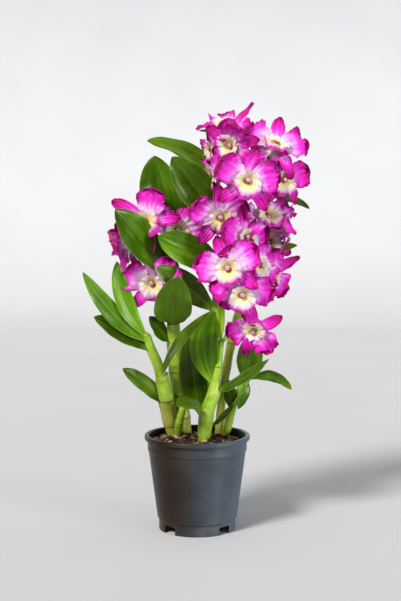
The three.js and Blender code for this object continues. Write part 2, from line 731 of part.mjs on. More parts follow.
function place(name, solid, material) {
  const mesh = new THREE.Mesh(geometryOf(solid), material);
  mesh.name = name;
  orchid.add(mesh);
}

const names = Object.keys(CANES);
const canes = names.map((name) => mainBody(leafyCane(name)));
const roomForCanes = wasm.Manifold.union(names.map((name) => leafyCane(name, CONTACT)));

place("pot", potSolid(), materials.pot);
place("soil", soilSolid(roomForCanes), materials.soil);
names.forEach((name, i) => place(name, canes[i], materials.cane));
bloomSolids(roomForCanes).forEach((solid, i) => {
  place(`bloom_${String(i + 1).padStart(2, "0")}`, solid, materials.bloom);
});

export default orchid;
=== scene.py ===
"""The looks of a potted dendrobium orchid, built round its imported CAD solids.

Metres, +Z up, in the CAD frame: the origin is on the table below the middle of the plant's box and -Y is
the front. Every cane, bloom, pot and bed below repeats the CAD part's dimensions and takes its node's
place with finer surfaces: ruffled petals, frilled lips, veined leaves, jointed canes, bark chips.
"""
import math
from collections import namedtuple
from functools import partialmethod
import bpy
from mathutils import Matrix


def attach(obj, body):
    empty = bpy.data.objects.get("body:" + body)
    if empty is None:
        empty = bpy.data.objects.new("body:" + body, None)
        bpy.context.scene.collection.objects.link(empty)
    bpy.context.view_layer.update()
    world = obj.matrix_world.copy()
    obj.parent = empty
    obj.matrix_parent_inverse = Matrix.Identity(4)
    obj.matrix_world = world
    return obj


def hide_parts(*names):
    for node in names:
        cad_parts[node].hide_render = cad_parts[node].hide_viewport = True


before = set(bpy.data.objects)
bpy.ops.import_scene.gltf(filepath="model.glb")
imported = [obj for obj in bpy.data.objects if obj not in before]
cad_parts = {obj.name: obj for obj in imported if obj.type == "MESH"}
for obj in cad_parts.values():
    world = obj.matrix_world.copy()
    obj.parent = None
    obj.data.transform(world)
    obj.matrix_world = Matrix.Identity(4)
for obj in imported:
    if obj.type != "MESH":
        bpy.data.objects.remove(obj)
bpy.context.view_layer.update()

from types import SimpleNamespace as Sizes

import bpy
import numpy as np

Cane = namedtuple("Cane", "axis radii tone dry")
Leaf = namedtuple("Leaf", "at tip bend width face fold youth base", defaults=[0.28])
Bloom = namedtuple("Bloom", "cane start at look roll cup size shade nod own", defaults=[0, {}])
Blade = namedtuple("Blade", "length width base widest blunt point layer wave ruffle frill curl rows columns")

# ---- Driving dimensions ----

POT = Sizes(
    height=0.108,
    rim_radius=0.060,
    rim_height=0.0055,
    wall=0.0016,
    body_top_radius=0.0565,
    shoulder_drop=0.018,
    shoulder_step=0.001,
    shoulder_slope=0.001,
    body_foot_radius=0.0454,
    foot_height=0.012,
    foot_slope=0.0015,
    foot_radius=0.0437,
    foot_flare=0.0006,
    floor_height=0.009,
    rounding=0.0016,
    segments=144,
    crease=38,
)
SHOULDER = POT.height - POT.shoulder_drop
INNER_RADIUS = POT.body_top_radius - POT.wall
# The cuts through the foot ring: width, height and corner radius.
DRAIN = Sizes(slots=4, slot=(0.016, 0.009, 0.002), nick=(0.005, 0.0012, 0.0004), reach=0.006)
SOIL = Sizes(
    level=0.1002,
    relief=0.0022,
    sunk=0.0008,
    gap=0.00035,
    tone=0.25,
    rings=36,
    segments=96,
)
# Loose bark: ranges of length, width as a share of it, and thickness. Chips with luck above pale are light.
# A chip is a tube through levels, each with its height, from -1 to 1, and its share of the chip's width.
CHIPS = Sizes(
    count=560,
    long=(0.004, 0.0115),
    wide=(0.5, 0.9),
    thick=(0.0012, 0.0032),
    tilt=0.28,
    ragged=0.28,
    pale=0.94,
    clear=0.001,
    levels=[(-1, 0.72), (-0.6, 0.98), (0.5, 1.0), (1, 0.74)],
    sides=8,
    crease=32,
)
# The swell, waist, groove, collar and ribs of a cane's joints are shares of its radius. Its rings stand at
# these shares of each joint, closer near its nodes.
CANE = Sizes(
    internode=0.029,
    node_swell=1.05,
    waist=0.96,
    groove=0.045,
    collar=0.018,
    ribs=(0.006, 0.008),
    sides=30,
    rings=(0, 0.012, 0.024, 0.05, 0.09, 0.16, 0.27, 0.4, 0.53, 0.66, 0.78, 0.87, 0.93, 0.965, 0.985, 0.996),
)
SHEATH = Sizes(
    length=0.026,
    lift=0.006,
    flare=0.0008,
    clear=0.0002,
    thickness=0.0004,
    sides=26,
    rows=8,
)
# The wider a leaf is, up to the width large, the more veins it has.
LEAF = Sizes(
    thickness=0.0011,
    widest=0.46,
    ease=1.5,
    blunt=2.3,
    point=0.72,
    crease=0.006,
    clasp=50,
    waves=0.034,
    ribs=0.00005,
    large=0.045,
    crowd=1.35,
    rows=40,
    columns=18,
)
# Rows crowd towards the tips of petals and leaves. By chance a tepal stands askew, in degrees, and has more
# or less twist, sway and curl.
TEPAL = Sizes(
    thickness=0.00065,
    root_radius=0.0036,
    fold=8,
    arch=0.003,
    droop=0.005,
    pleat=0.0005,
    askew=3,
    twist=0.20,
    sway=0.09,
    crowd=1.4,
)
PETAL = Blade(
    length=0.037, width=0.034, base=0.22, widest=0.60, blunt=2.7, point=0.5, layer=0.0015,
    wave=0.002, ruffle=0.0036, frill=0.0014, curl=0.14, rows=48, columns=30,
)
SEPAL = Blade(
    length=0.038, width=0.0155, base=0.30, widest=0.46, blunt=2.5, point=0.52, layer=0.0,
    wave=0.0, ruffle=0.0012, frill=0.0003, curl=0.16, rows=34, columns=12,
)
# Degrees clockwise from a bloom's top as it faces us, form and share of its cup.
TEPALS = [(0, SEPAL, 0.6), (-66, PETAL, 1), (-134, SEPAL, 0.6), (134, SEPAL, 0.6), (66, PETAL, 1)]
# The lip's half section, radius and height, is a cubic curve from its foot to its rim. Its waves are given
# by their count round it and their size: ragged in its outline, ruffle in its height.
LIP = Sizes(
    section=[(0.0024, 0.0050), (0.0058, 0.0060), (0.0090, 0.0104), (0.0150, 0.0114)],
    ragged=[(3, 0.035), (5, 0.035), (8, 0.024), (13, 0.024), (21, 0.012), (34, 0.005)],
    ruffle=[(4, 0.0007), (7, 0.0011), (11, 0.0008), (19, 0.0004), (31, 0.0002)],
    foot=0.0017,
    lean=0.16,
    sway=0.0007,
    hang=0.0042,
    lobes=0.0014,
    thickness=0.0006,
    rows=20,
    columns=112,
)
HUB = Sizes(radii=(0.0046, 0.0046, 0.0022), middle=0.0006, sides=18)
COLUMN = Sizes(foot=0.003, top=0.0092, radius=0.0021, lean=0.0014, rings=12, sides=14)
ANTHER = Sizes(radii=(0.0037, 0.0033, 0.0018), drop=0.0006, out=0.0088, sides=14)
PEDICEL = Sizes(radius=0.0012, flare=0.0022, bend=0.016, end=0.00042, rings=26, sides=12)
# The colours of old papery skin, and the gloss, of canes and sheaths.
HUSK = [(0.3, "#827A2C"), (0.7, "#ACAC50")]
WAXY = {"Specular_IOR_Level": 0.4, "Specular_Tint": (1, 1, 0.6, 1), "Coat_Roughness": 0.2}

# Each cane: its axis from the soil up, its radii from foot to top, its tone (0 green, 1 yellow) and the
# share of its height that old papery skin covers.
CANES = {
    "cane_left": Cane(
        axis=[
            (-0.027, 0.030, 0.092), (-0.033, 0.026, 0.122), (-0.036, 0.020, 0.144),
            (-0.039, 0.015, 0.162), (-0.043, 0.010, 0.180), (-0.048, 0.008, 0.194),
            (-0.053, 0.008, 0.206), (-0.058, 0.008, 0.220),
        ],
        radii=[0.0056, 0.0072, 0.0087, 0.0082, 0.0062, 0.0048, 0.0044],
        tone=0.75,
        dry=0.41,
    ),
    "cane_short": Cane(
        axis=[
            (-0.024, 0.018, 0.092), (-0.022, 0.017, 0.112), (-0.019, 0.017, 0.126),
            (-0.015, 0.019, 0.140),
        ],
        radii=[0.0044, 0.0049, 0.0046, 0.004],
        tone=0.6,
        dry=0.0,
    ),
    "cane_thick": Cane(
        axis=[
            (-0.012, 0.041, 0.092), (-0.019, 0.038, 0.135), (-0.023, 0.034, 0.177),
            (-0.026, 0.030, 0.207), (-0.028, 0.028, 0.236), (-0.029, 0.026, 0.271),
            (-0.028, 0.024, 0.305), (-0.026, 0.024, 0.340), (-0.022, 0.027, 0.372),
        ],
        radii=[0.0074, 0.0086, 0.0104, 0.010, 0.0074, 0.0066, 0.006, 0.0056, 0.005, 0.004],
        tone=0.45,
        dry=0.16,
    ),
    "cane_front": Cane(
        axis=[
            (0.007, -0.004, 0.092), (0.009, -0.006, 0.119), (0.012, -0.006, 0.137),
            (0.018, -0.005, 0.154), (0.021, -0.004, 0.171), (0.023, -0.003, 0.182),
            (0.025, -0.002, 0.199), (0.027, -0.002, 0.216),
        ],
        radii=[0.0064, 0.0076, 0.0074, 0.0054, 0.0039, 0.0028],
        tone=1.0,
        dry=0.0,
    ),
    "cane_right": Cane(
        axis=[
            (0.030, 0.030, 0.092), (0.037, 0.028, 0.119), (0.041, 0.026, 0.133),
            (0.047, 0.024, 0.149), (0.053, 0.022, 0.161), (0.058, 0.022, 0.171),
        ],
        radii=[0.0052, 0.0051, 0.0044, 0.004, 0.0044, 0.0032],
        tone=0.9,
        dry=0.1,
    ),
    "cane_tall": Cane(
        axis=[
            (0.005, 0.034, 0.092), (0.009, 0.036, 0.142), (0.014, 0.033, 0.189),
            (0.019, 0.029, 0.236), (0.025, 0.025, 0.282), (0.031, 0.022, 0.328),
            (0.038, 0.020, 0.374), (0.047, 0.020, 0.413), (0.053, 0.021, 0.443),
        ],
        radii=[0.005, 0.0053, 0.0052, 0.005, 0.0046, 0.0042, 0.0032],
        tone=0.3,
        dry=0.3,
    ),
    "cane_back": Cane(
        axis=[
            (0.024, 0.038, 0.092), (0.029, 0.042, 0.140), (0.036, 0.042, 0.188),
            (0.046, 0.036, 0.235), (0.058, 0.030, 0.282), (0.067, 0.026, 0.328),
            (0.074, 0.024, 0.374), (0.081, 0.022, 0.413), (0.085, 0.022, 0.436),
        ],
        radii=[0.0048, 0.0052, 0.0052, 0.005, 0.0046, 0.0042, 0.0032],
        tone=0.35,
        dry=0.42,
    ),
}

# Each leaf: the height it leaves its cane at, its tip, its bend, width and face, its fold in degrees, how
# young it is (0 dark, 1 a sprout), and how wide it is at its foot as a share of its width.
LEAVES = {
    "cane_left": [
        Leaf(0.212, (-0.128, -0.010, 0.293), (-0.003, 0, -0.008), 0.022, (0.3, -0.9, 0.3), 14, 0.55),
        Leaf(0.216, (-0.090, -0.005, 0.305), (-0.009, -0.002, 0), 0.022, (0.3, -1, 0.1), 16, 0.85),
        Leaf(0.200, (-0.117, 0, 0.242), (-0.003, 0, 0.004), 0.027, (0.1, -0.75, 0.65), 14, 0.05),
        Leaf(0.138, (-0.085, -0.002, 0.183), (0.002, -0.002, 0.002), 0.022, (0.2, -0.8, 0.6), 12, 0.1),
        Leaf(0.170, (0.016, -0.035, 0.252), (-0.012, -0.004, -0.002), 0.021, (-0.78, -0.48, 0.42), 10, 0.05),
    ],
    "cane_thick": [
        Leaf(0.226, (-0.021, -0.028, 0.290), (-0.003, -0.005, -0.003), 0.043, (0, 0.7, 0.7), -6, 0.4),
        Leaf(0.209, (-0.055, 0.012, 0.241), (-0.003, 0, 0), 0.025, (0.3, -0.7, 0.7), 12, 0.1),
        Leaf(0.292, (-0.089, -0.042, 0.363), (-0.002, -0.010, 0), 0.044, (0.3, -0.85, 0.35), 14, 0.35, 0.5),
        Leaf(0.331, (-0.049, 0.008, 0.423), (-0.002, -0.008, 0), 0.052, (0, -1, 0.1), 22, 0.3),
    ],
    "cane_front": [
        Leaf(0.166, (0.020, -0.008, 0.249), (-0.012, 0.002, 0), 0.034, (-0.2, -0.95, 0.1), 12, 0.35),
        Leaf(0.131, (-0.022, -0.038, 0.146), (0, -0.002, 0.008), 0.027, (0.2, -0.45, 0.85), 12, 0.15),
        Leaf(0.155, (0.080, -0.025, 0.197), (0.002, -0.002, -0.002), 0.019, (-0.58, -0.46, 0.67), 10, 0.25),
        Leaf(0.211, (0.028, -0.008, 0.273), (-0.001, -0.002, 0), 0.010, (0.2, -1, 0), 18, 1.0),
        Leaf(0.211, (0.043, -0.004, 0.240), (0.001, 0, -0.002), 0.007, (-0.5, -0.8, 0.3), 14, 1.0),
    ],
    "cane_right": [
        Leaf(0.165, (0.107, 0, 0.159), (0.002, -0.002, 0.011), 0.018, (-0.1, -0.5, 0.85), 12, 0.4),
        Leaf(0.163, (0.063, 0.014, 0.223), (0.002, 0.004, 0), 0.031, (0, -1, 0.1), 16, 0.15),
        Leaf(0.168, (0.047, 0.016, 0.134), (0.003, -0.002, 0.001), 0.013, (0.5, -0.85, 0.1), 8, 0.3),
        Leaf(0.142, (0.017, 0.004, 0.117), (0, -0.002, -0.003), 0.011, (-0.4, -0.5, 0.8), 8, 0.5),
        Leaf(0.131, (0.036, 0.014, 0.168), (0, -0.002, 0), 0.015, (0, -1, 0.1), 8, 0.0),
    ],
    "cane_tall": [
        Leaf(0.120, (-0.008, 0.008, 0.222), (-0.004, -0.004, 0), 0.032, (-0.15, -0.95, 0.1), 12, 0.0),
        Leaf(0.246, (-0.045, -0.024, 0.299), (0, -0.002, 0.004), 0.031, (0.05, -1, 0.3), 14, 0.1),
        Leaf(0.299, (-0.043, -0.028, 0.334), (-0.002, -0.009, 0), 0.040, (0.05, -0.95, 0.3), 20, 0.55, 0.45),
        Leaf(0.345, (-0.028, -0.016, 0.421), (-0.002, -0.008, 0), 0.046, (0.1, -1, 0.25), 20, 0.3),
        Leaf(0.385, (-0.056, 0.004, 0.440), (0, 0, 0.012), 0.032, (0, -0.65, 0.75), 14, 0.2),
        Leaf(0.428, (0.056, 0.030, 0.468), (0.003, 0.004, 0), 0.017, (-0.2, -1, 0), 14, 0.3),
        Leaf(0.436, (0.002, 0.014, 0.452), (0, 0, 0.004), 0.012, (0, -0.5, 0.85), 12, 0.2),
    ],
    "cane_back": [
        Leaf(0.378, (0.127, 0.010, 0.364), (0, 0, 0.006), 0.016, (0, -0.6, 0.8), 12, 0.2),
        Leaf(0.318, (0.114, 0.014, 0.322), (0, 0, 0), 0.017, (0, -0.7, 0.7), 12, 0.35),
        Leaf(0.322, (0.106, 0.034, 0.343), (0.002, 0.004, 0), 0.013, (-0.3, -0.8, 0.5), 12, 0.35),
    ],
}

# Each bloom: the cane and height that its pedicel leaves from, the middle of its face, the way it looks
# (azimuth from the front towards +X, elevation), its roll, how far its petals reach forward, its size, how
# deep its colour is, how far its lip nods up, and the tepals with a lift and a stretch of their own.
BLOOMS = [
    Bloom("cane_thick", 0.340, (-0.056, 0, 0.349), (-8, 4), 52, 12, 1.05, 0.6, 14, {0: (0.004, 1.22)}),
    Bloom("cane_thick", 0.318, (-0.076, -0.006, 0.321), (-114, -8), 0, 13, 0.9, 1.0),
    Bloom("cane_thick", 0.258, (-0.049, 0, 0.280), (-14, -2), 7, 12, 1, 0.35),
    Bloom("cane_thick", 0.350, (-0.023, 0.008, 0.339), (8, 2), -14, 16, 0.95, 0.3, 10),
    Bloom("cane_tall", 0.352, (0.002, 0.020, 0.351), (-24, 0), 30, 12, 0.84, 0.1),
    Bloom("cane_tall", 0.437, (0.031, 0.002, 0.453), (-5, 60), -52, 14, 0.88, 0.7, 0, {0: (0.022, 1.12)}),
    Bloom("cane_tall", 0.424, (0.038, -0.016, 0.434), (-22, -8), -78, 14, 0.92, 0.85, 0, {1: (0.016, 0.85)}),
    Bloom("cane_tall", 0.430, (0.019, 0.014, 0.432), (-64, -6), 20, 12, 0.74, 0.9),
    Bloom("cane_tall", 0.398, (0.053, -0.0385, 0.393), (12, 6), -8, 14, 1.05, 0.6),
    Bloom("cane_back", 0.412, (0.070, 0.0455, 0.404), (170, 8), 0, 14, 1.1, 0.8),
    Bloom("cane_tall", 0.390, (0.021, 0.004, 0.401), (-62, 0), 0, 15, 0.88, 0.9),
    Bloom("cane_tall", 0.362, (0.025, -0.006, 0.354), (6, -4), 4, 16, 0.98, 0.45),
    Bloom("cane_tall", 0.310, (0.035, -0.036, 0.298), (-12, 4), 20, 12, 1.04, 0.35),
    Bloom("cane_tall", 0.284, (0.049, -0.030, 0.269), (4, -4), -10, 12, 1, 0.6, 0, {2: (-0.010, 0.7)}),
    Bloom("cane_back", 0.340, (0.050, -0.022, 0.332), (42, 2), 0, 14, 0.95, 0.65),
    Bloom("cane_back", 0.424, (0.085, -0.010, 0.430), (14, 34), -24, 13, 1.06, 0.45, 30, {0: (0, 1.08)}),
    Bloom("cane_back", 0.398, (0.093, -0.014, 0.395), (28, 0), -4, 14, 0.93, 0.9),
    Bloom("cane_back", 0.362, (0.079, -0.008, 0.352), (16, 46), 0, 13, 0.95, 0.2),
    Bloom("cane_back", 0.345, (0.096, 0.008, 0.339), (84, 0), 10, 12, 0.8, 0.6),
    Bloom("cane_back", 0.322, (0.080, 0.016, 0.324), (48, 26), 20, 14, 0.88, 0.5),
    Bloom("cane_back", 0.304, (0.066, -0.014, 0.300), (50, 4), -62, 14, 0.95, 0.75),
    Bloom(
        "cane_back", 0.286, (0.080, 0.006, 0.288), (40, -6), -60, 14, 0.92, 0.7, 0,
        {0: (0.002, 1.25), 4: (0.012, 0.8)},
    ),
    Bloom("cane_back", 0.236, (0.064, -0.020, 0.231), (-10, -12), 159, 16, 0.9, 0.75, 18),
]

# The floor curves up into a wall behind the plant.
SWEEP = Sizes(front=-8.0, start=2.2, radius=1.2, top=7.0, half_width=12.0, steps=24)
# The photograph's camera: place, tilt below the horizon, and lens on a 36 mm sensor.
CAMERA = Sizes(place=(0.0037, -1.298, 0.359), tilt=0.0757, lens=69.0, sensor=36)
SKY = Sizes(colour="#F6F7F9", strength=0.50)
# Each lamp: where it shines from, its spread in degrees, its power and its colour.
LAMPS = {
    "key": ((-0.8, -1.0, 1.15), 14, 4.0, (1, 0.98, 0.95)),
    "fill": ((1.2, -0.9, 0.14), 16, 2.4, (0.84, 0.92, 1)),
    "back": ((0.6, 1.2, 0.9), 40, 0.5, (1, 0.99, 0.97)),
}
SEED = 11


# ---- Small mathematics ----


def unit(vectors):
    vectors = np.asarray(vectors, float)
    return vectors / np.maximum(np.linalg.norm(vectors, axis=-1, keepdims=True), 1e-12)


def smooth(low, high, x):
    share = np.clip((x - low) / (high - low), 0, 1)
    return share * share * (3 - 2 * share)


def stacked(*parts):
    """Numbers and arrays, spread to one shape, as the parts of points."""
    return np.stack(np.broadcast_arrays(*parts), -1)


def circle(sides):
    return np.linspace(0, math.tau, sides, endpoint=False)


def wave(turns, start):
    return np.sin(math.tau * turns + start)


def between(low, high, share):
    return low + (high - low) * share


def bezier(a, b, c, t):
    """Points and directions of a quadratic curve at the shares t."""
    a, b, c = (np.asarray(p, float) for p in (a, b, c))
    t = np.asarray(t, float)[:, None]
    places = (1 - t) ** 2 * a + 2 * t * (1 - t) * b + t**2 * c
    return places, unit((1 - t) * (b - a) + t * (c - b))


class Spline:
    """A centripetal Catmull-Rom curve through points, read by its length from 0 to 1."""

    def __init__(self, points, steps=60):
        points = np.array(points, float)
        ends = [2 * points[0] - points[1], *points, 2 * points[-1] - points[-2]]
        t = np.linspace(0, 1, steps, endpoint=False)[:, None]
        rows = []
        for p0, p1, p2, p3 in zip(ends, ends[1:], ends[2:], ends[3:]):
            d0, d1, d2 = (np.linalg.norm(q - p) ** 0.5 for p, q in ((p0, p1), (p1, p2), (p2, p3)))
            m1 = ((p1 - p0) / d0 - (p2 - p0) / (d0 + d1) + (p2 - p1) / d1) * d1
            m2 = ((p2 - p1) / d1 - (p3 - p1) / (d1 + d2) + (p3 - p2) / d2) * d1
            cubic = 2 * p1 - 2 * p2 + m1 + m2
            square = 3 * p2 - 3 * p1 - 2 * m1 - m2
            rows.append(p1 + m1 * t + square * t**2 + cubic * t**3)
        self.path = np.concatenate([*rows, points[-1:]])
        gaps = np.linalg.norm(np.diff(self.path, axis=0), axis=1)
        self.length = gaps.sum()
        self.shares = np.concatenate([[0], np.cumsum(gaps)]) / self.length

    def places(self, u):
        return np.stack([np.interp(u, self.shares, self.path[:, k]) for k in range(3)], -1)

    def directions(self, u, reach=0.004):
        u = np.asarray(u, float)
        return unit(self.places(np.minimum(u + reach, 1)) - self.places(np.maximum(u - reach, 0)))

    def share_at(self, height):
        return float(np.interp(height, self.path[:, 2], self.shares))


def loops_round(places, directions, radii, sides):
    """Loops of points round a path. radii has one number for each loop, or for each point of each loop."""
    level = np.abs(directions[:, 1:2]) < 0.9
    side = unit(np.cross(np.where(level, (0.0, 1.0, 0.0), (1.0, 0.0, 0.0)), directions))
    other = np.cross(directions, side)
    turn = circle(sides)[None, :, None]
    radii = np.broadcast_to(np.asarray(radii, float).reshape(len(places), -1), (len(places), sides))
    spread = side[:, None] * np.cos(turn) + other[:, None] * np.sin(turn)
    return places[:, None] + spread * radii[..., None]


# ---- Meshes ----


class Shell:
    """The surfaces of one piece. Each point keeps where it lies on its organ (place) and its part's tone."""

    def __init__(self):
        self.points, self.places, self.tones = [], [], []
        self.faces, self.finishes = [], []
        self.count = 0

    def take(self, points, place, tone):
        flat = points.reshape(-1, 3)
        self.points.append(flat)
        self.places.append(np.broadcast_to(place, points.shape).reshape(-1, 3))
        self.tones.append(np.broadcast_to(tone, points.shape).reshape(-1, 3))
        index = np.arange(self.count, self.count + len(flat))
        self.count += len(flat)
        return index.reshape(points.shape[:-1])

    def close(self, faces, finish):
        self.faces += faces
        self.finishes += [finish] * len(faces)

    def quads(self, a, b, c, d, finish):
        self.close(np.stack([a, b, c, d], -1).reshape(-1, 4).tolist(), finish)

    def sheet(self, grid, thickness, place, tone, finish, around=False):
        """A thin closed sheet on each side of a grid of points, open or closed on itself across."""
        along = np.gradient(grid, axis=0)
        if around:
            over = np.roll(grid, -1, axis=1) - np.roll(grid, 1, axis=1)
        else:
            over = np.gradient(grid, axis=1)
        lift = unit(np.cross(over, along)) * np.asarray(thickness, float)[..., None] / 2
        front = self.take(grid + lift, place, tone)
        back = self.take(grid - lift, place * (1, 1, -1), tone)
        if around:
            front, back = (np.concatenate([g, g[:, :1]], axis=1) for g in (front, back))
        self.quads(front[:-1, :-1], front[:-1, 1:], front[1:, 1:], front[1:, :-1], finish)
        self.quads(back[:-1, :-1], back[1:, :-1], back[1:, 1:], back[:-1, 1:], finish)
        self.quads(front[-1, 1:], back[-1, 1:], back[-1, :-1], front[-1, :-1], finish)
        self.quads(front[0, :-1], back[0, :-1], back[0, 1:], front[0, 1:], finish)
        if not around:
            self.quads(front[:-1, -1], back[:-1, -1], back[1:, -1], front[1:, -1], finish)
            self.quads(front[1:, 0], back[1:, 0], back[:-1, 0], front[:-1, 0], finish)

    def tube(self, loops, finish, place=(0, 0, 0), tone=(0, 0, 0)):
        """A closed tube through loops that run counterclockwise round its way."""
        grid = self.take(loops, place, tone)
        ahead = np.roll(grid, -1, axis=1)
        self.quads(grid[:-1], ahead[:-1], ahead[1:], grid[1:], finish)
        self.close([grid[0][::-1].tolist(), grid[-1].tolist()], finish)

    def lathe(self, profile, segments, tone=(0, 0, 0)):
        """A solid of revolution. The profile, radius and height, goes up the outside from axis to axis."""
        profile = np.array(profile, float)
        turn = circle(segments)
        radius, height = profile[1:-1, :1], profile[1:-1, 1:]
        grid = self.take(stacked(radius * np.cos(turn), radius * np.sin(turn), height), (0, 0, 0), tone)
        ahead = np.roll(grid, -1, axis=1)
        self.quads(grid[:-1], ahead[:-1], ahead[1:], grid[1:], 0)
        poles = stacked(0, 0, profile[[0, -1], 1])
        first, last = self.take(poles, (0, 0, 0), tone)
        self.close(np.stack([grid[0] * 0 + first, ahead[0], grid[0]], -1).tolist(), 0)
        self.close(np.stack([grid[-1], ahead[-1], grid[-1] * 0 + last], -1).tolist(), 0)

    def mesh(self, name, materials, crease=50):
        mesh = bpy.data.meshes.new(name)
        mesh.from_pydata(np.concatenate(self.points).tolist(), [], self.faces)
        for key, rows in (("place", self.places), ("tone", self.tones)):
            layer = mesh.attributes.new(key, "FLOAT_VECTOR", "POINT")
            layer.data.foreach_set("vector", np.concatenate(rows).astype(np.float32).ravel())
        for material in materials:
            mesh.materials.append(material)
        mesh.polygons.foreach_set("material_index", np.array(self.finishes, np.int32))
        mesh.shade_smooth()
        mesh.set_sharp_from_angle(angle=math.radians(crease))
        return mesh


def show(name, data):
    piece = bpy.data.objects.new(name, data)
    bpy.context.scene.collection.objects.link(piece)
    return piece


def stand_for(piece, node):
    """The piece rides on the plant's one body, in the place of a CAD node."""
    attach(piece, "root")
    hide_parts(node)


# ---- Materials ----


def rgb(code):
    """A linear colour from its sRGB hex code."""
    parts = [int(code[i : i + 2], 16) / 255 for i in (1, 3, 5)]
    linear = [p / 12.92 if p <= 0.04045 else ((p + 0.055) / 1.055) ** 2.4 for p in parts]
    return (*linear, 1)


class Value:
    """A number or colour at each point of a surface. Its sums and products are nodes of the material."""

    def __init__(self, finish, socket):
        self.finish = finish
        self.socket = socket

    def apply(self, operation, *others):
        return self.finish.value("ShaderNodeMath", dict(enumerate((self, *others))), operation=operation)

    __add__ = partialmethod(apply, "ADD")
    __sub__ = partialmethod(apply, "SUBTRACT")
    __mul__ = partialmethod(apply, "MULTIPLY")
    __pow__ = partialmethod(apply, "POWER")
    __abs__ = partialmethod(apply, "ABSOLUTE")

    def step(self, low, high, start=0.0, end=1.0):
        """Goes smoothly from start to end as the value goes from low to high."""
        numbers = {"Value": self, "From Min": low, "From Max": high, "To Min": start, "To Max": end}
        return self.finish.value("ShaderNodeMapRange", numbers, interpolation_type="SMOOTHSTEP")

    def ramp(self, *stops):
        made = self.finish.node("ShaderNodeValToRGB", {0: self})
        points = made.color_ramp.elements
        while len(points) < len(stops):
            points.new(0.5)
        for point, (place, code) in zip(points, stops):
            point.position = place
            point.color = rgb(code)
        return Value(self.finish, made.outputs[0])


class Finish:
    """A material and short calls that add its nodes. An input is a number, a hex colour or a Value."""

    def __init__(self, name, **constants):
        self.material = bpy.data.materials.new(name)
        self.material.use_nodes = True
        self.tree = self.material.node_tree
        self.shader = self.tree.nodes["Principled BSDF"]
        self.colour = None
        for key, value in constants.items():
            self.put(self.shader.inputs[key.replace("_", " ")], value)
        self.where = self.value("ShaderNodeTexCoord", output="Object")

    def put(self, socket, value):
        if isinstance(value, Value):
            self.tree.links.new(value.socket, socket)
        else:
            socket.default_value = rgb(value) if isinstance(value, str) else value

    def node(self, kind, inputs=(), **settings):
        made = self.tree.nodes.new(kind)
        for key, value in settings.items():
            setattr(made, key, value)
        for key, value in dict(inputs).items():
            self.put(made.inputs[key], value)
        return made

    def value(self, kind, inputs=(), output=0, **settings):
        return Value(self, self.node(kind, inputs, **settings).outputs[output])

    def parts(self, vector):
        return [Value(self, socket) for socket in self.node("ShaderNodeSeparateXYZ", {0: vector}).outputs]

    def kept(self, name):
        """The three numbers that the mesh keeps under a name."""
        return self.parts(self.value("ShaderNodeAttribute", output="Vector", attribute_name=name))

    def join(self, x, y, z):
        return self.value("ShaderNodeCombineXYZ", {0: x, 1: y, 2: z})

    def scaled(self, *scale):
        return self.value("ShaderNodeMapping", {"Vector": self.where, "Scale": scale})

    def noise(self, where, scale, detail=3.0, rough=0.5):
        inputs = {"Vector": where, "Scale": scale, "Detail": detail, "Roughness": rough}
        return self.value("ShaderNodeTexNoise", inputs, "Fac")

    def mix(self, share, a, b):
        return self.value("ShaderNodeMix", {0: share, 6: a, 7: b}, 2, data_type="RGBA")

    def paint(self, share, colour):
        """Lays a share of a colour over the colour so far."""
        self.colour = self.mix(share, self.colour, colour)

    def bump(self, height, strength, distance):
        inputs = {"Height": height, "Strength": strength, "Distance": distance}
        self.put(self.shader.inputs["Normal"], self.value("ShaderNodeBump", inputs))

    def done(self, roughness):
        self.put(self.shader.inputs["Base Color"], self.colour)
        self.put(self.shader.inputs["Roughness"], roughness)
        return self.material


def tepal_finish():
    """Petals and sepals: white at the root, then magenta in streaks along the veins, with a dark margin."""
    f = Finish("tepal", Subsurface_Weight=0.08, Subsurface_Scale=0.0015, Specular_IOR_Level=0.14)
    along, across, side = f.kept("place")
    shade, petal, chance = f.kept("tone")
    edge = abs(across)
    streak = f.noise(f.join(across * 15.0, along * 1.5, chance * 40.0), 1.0, 5.0, 0.6)
    cloud = f.noise(f.join(across * 1.4, along * 2.2, chance * 9.0), 1.3, 2.0)
    reach = along + (streak - 0.5) * 0.56 + (cloud - 0.5) * 0.55 - petal * 0.17
    reach = reach + (shade - 0.5) * 0.36 + edge**3.0 * 0.20
    f.colour = reach.ramp(
        (0.02, "#D8C4CC"), (0.18, "#DEB0D4"), (0.34, "#DE7CD0"),
        (0.50, "#D636BC"), (0.70, "#C80F9E"), (0.94, "#A0056A"),
    )
    lines = abs((across * 26.0 + streak * 6.0).apply("SINE"))
    vein = lines.step(0.25, 0.0) * along.step(1.0, 0.2, 0.0, 0.22)
    f.paint(vein, "#B00C90")
    margin = edge.step(0.74, 1.0) * along.step(0.25, 0.6)
    margin = margin.apply("MAXIMUM", along.step(0.86, 1.0))
    f.paint(margin * cloud.step(0.30, 0.60, 0.2, 1.0) * (petal * 0.40 + 0.45), "#84054C")
    f.paint(side.step(0.2, -0.2, 0.0, 0.12), "#CC70C0")
    grain = f.noise(f.where, 2600.0, 2.0)
    f.bump(grain * 0.3 + streak - vein * 0.5, 0.6, 0.0008)
    return f.done(grain.step(0.2, 0.8, 0.38, 0.58))


